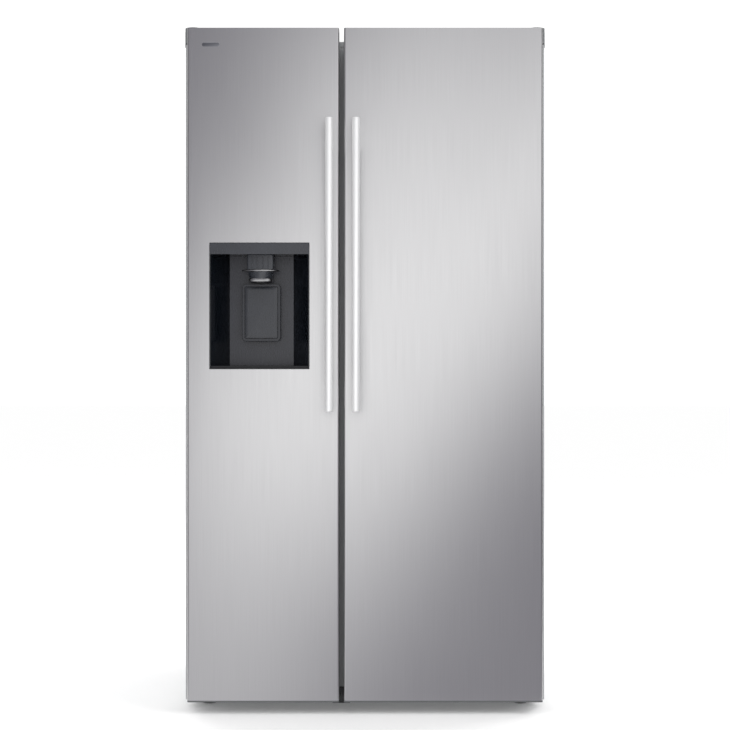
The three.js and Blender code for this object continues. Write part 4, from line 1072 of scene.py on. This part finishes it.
def add_world():
    """White to the camera; as a light, softer from the sides than from above."""
    world = bpy.data.worlds.new("studio")
    world.use_nodes = True
    nodes, links = world.node_tree.nodes, world.node_tree.links
    shade = nodes["Background"]
    shade.inputs["Color"].default_value = (1.0, 1.0, 1.0, 1.0)
    up = nodes.new("ShaderNodeSeparateXYZ")
    links.new(nodes.new("ShaderNodeTexCoord").outputs["Generated"], up.inputs[0])
    light = nodes.new("ShaderNodeMapRange")
    limits = {"From Min": 0.0, "From Max": 0.9, "To Min": SIDE_LIGHT, "To Max": TOP_LIGHT}
    for name, value in limits.items():
        light.inputs[name].default_value = value
    links.new(up.outputs["Z"], light.inputs["Value"])
    seen = nodes.new("ShaderNodeMix")
    links.new(nodes.new("ShaderNodeLightPath").outputs["Is Camera Ray"], seen.inputs["Factor"])
    links.new(light.outputs["Result"], seen.inputs["A"])
    seen.inputs["B"].default_value = BACKGROUND
    links.new(seen.outputs["Result"], shade.inputs["Strength"])
    bpy.context.scene.world = world


def add_floor():
    """Pale matt floor just under the feet."""
    bpy.ops.mesh.primitive_plane_add(size=60.0, location=(0.0, 0.0, -0.5 * MM))
    floor = bpy.context.object
    floor.name = "floor"
    paint = Paint("floor", (0.90, 0.90, 0.90), roughness=0.7, Specular_IOR_Level=0.0,
                  Emission_Strength=0.10)
    paint.vary_color(paint.noise(3.0), 0.995, 1.0)
    floor.data.materials.append(paint.material)


def add_lamps():
    """Soft square lamps, left out of reflections."""
    for name, (place, aim, size, power) in LAMPS.items():
        data = bpy.data.lights.new(name, "AREA")
        data.size = size
        data.energy = power
        lamp = bpy.data.objects.new(name, data)
        lamp.location = place
        lamp.rotation_euler = (Vector(aim) - Vector(place)).to_track_quat("-Z", "Y").to_euler()
        lamp.visible_glossy = False
        bpy.context.scene.collection.objects.link(lamp)


def add_reflected(name, faces, material):
    """Flat faces that show in reflections only."""
    bm = bmesh.new()
    for corners in faces:
        bm.faces.new([bm.verts.new(point) for point in corners])
    mesh = bpy.data.meshes.new(name)
    bm.to_mesh(mesh)
    bm.free()
    mesh.materials.append(material)
    panel = bpy.data.objects.new(name, mesh)
    bpy.context.scene.collection.objects.link(panel)
    panel.visible_camera = False
    panel.visible_diffuse = False
    panel.visible_shadow = False


def add_card():
    """Light panel that the doors mirror: an upright part, and a flat part from its foot to the doors."""
    near = DOOR.y0 - 30 * MM
    wall = upright(corners_of(-CARD_HALF, CARD_HALF, CARD_FOOT, CARD_TOP), CARD_Y)
    ground = level(corners_of(-CARD_HALF, CARD_HALF, CARD_Y, near), CARD_FOOT)
    add_reflected("graded_card", [wall, ground], card_light())


def add_flags():
    """Dark panels at both sides, which the round upright edges of the doors mirror as a dark line."""
    flag = corners_of(CARD_Y, FLAG_BACK, FLAG_BOTTOM, CARD_TOP)
    wing = corners_of(FLAG_BACK, WING_BACK, FLAG_BOTTOM, WING_TOP)
    add_reflected("flag_left", [sideways(flag, -CARD_HALF)], flag_paint("flag_left", 1.0))
    add_reflected("flag_right", [sideways(flag, CARD_HALF), sideways(wing, CARD_HALF)],
                  flag_paint("flag_right", 0.1))


def flag_paint(name, foot):
    """Matt grey, times foot at the bottom."""
    paint = Paint(name, (0.16, 0.16, 0.16), roughness=1.0, Specular_IOR_Level=0.0)
    up = paint.node("SeparateXYZ", Vector=paint.place)
    paint.vary_color(paint.node("MapRange", Value=up.outputs["Z"]).outputs["Result"], foot, 1.1)
    return paint.material


def card_light():
    """An even glow plus soft oval spots, each lit by the bell curve of its distance."""
    material = bpy.data.materials.new("card_light")
    material.use_nodes = True
    nodes, links = material.node_tree.nodes, material.node_tree.links
    nodes.clear()
    place = nodes.new("ShaderNodeTexCoord").outputs["Object"]

    def math_node(operation, first, second=None):
        made = nodes.new("ShaderNodeMath")
        made.operation = operation
        links.new(first, made.inputs[0])
        if isinstance(second, bpy.types.NodeSocket):
            links.new(second, made.inputs[1])
        elif second is not None:
            made.inputs[1].default_value = second
        return made.outputs[0]

    total = None
    for x, z, along, across, lean, strength in CARD_SPOTS:
        local = nodes.new("ShaderNodeMapping")
        local.vector_type = "TEXTURE"
        local.inputs["Location"].default_value = (x, CARD_Y, z)
        local.inputs["Rotation"].default_value = (0.0, math.radians(-lean), 0.0)
        local.inputs["Scale"].default_value = (along, 1.0, across)
        links.new(place, local.inputs["Vector"])
        length = nodes.new("ShaderNodeVectorMath")
        length.operation = "LENGTH"
        links.new(local.outputs["Vector"], length.inputs[0])
        squared = math_node("POWER", length.outputs["Value"], 2.0)
        fade = math_node("EXPONENT", math_node("MULTIPLY", squared, -0.5))
        spot = math_node("MULTIPLY", fade, strength)
        total = spot if total is None else math_node("ADD", spot, total)
    spots = nodes.new("ShaderNodeEmission")
    spots.inputs["Color"].default_value = SPOT_TINT
    links.new(total, spots.inputs["Strength"])
    plain = nodes.new("ShaderNodeEmission")
    plain.inputs["Color"].default_value = CARD_TINT
    plain.inputs["Strength"].default_value = CARD_BASE
    both = nodes.new("ShaderNodeAddShader")
    links.new(spots.outputs["Emission"], both.inputs[0])
    links.new(plain.outputs["Emission"], both.inputs[1])
    out = nodes.new("ShaderNodeOutputMaterial")
    links.new(both.outputs["Shader"], out.inputs["Surface"])
    return material


bpy.context.scene.view_settings.view_transform = "Standard"
add_camera()
add_world()
add_floor()
add_lamps()
add_card()
add_flags()
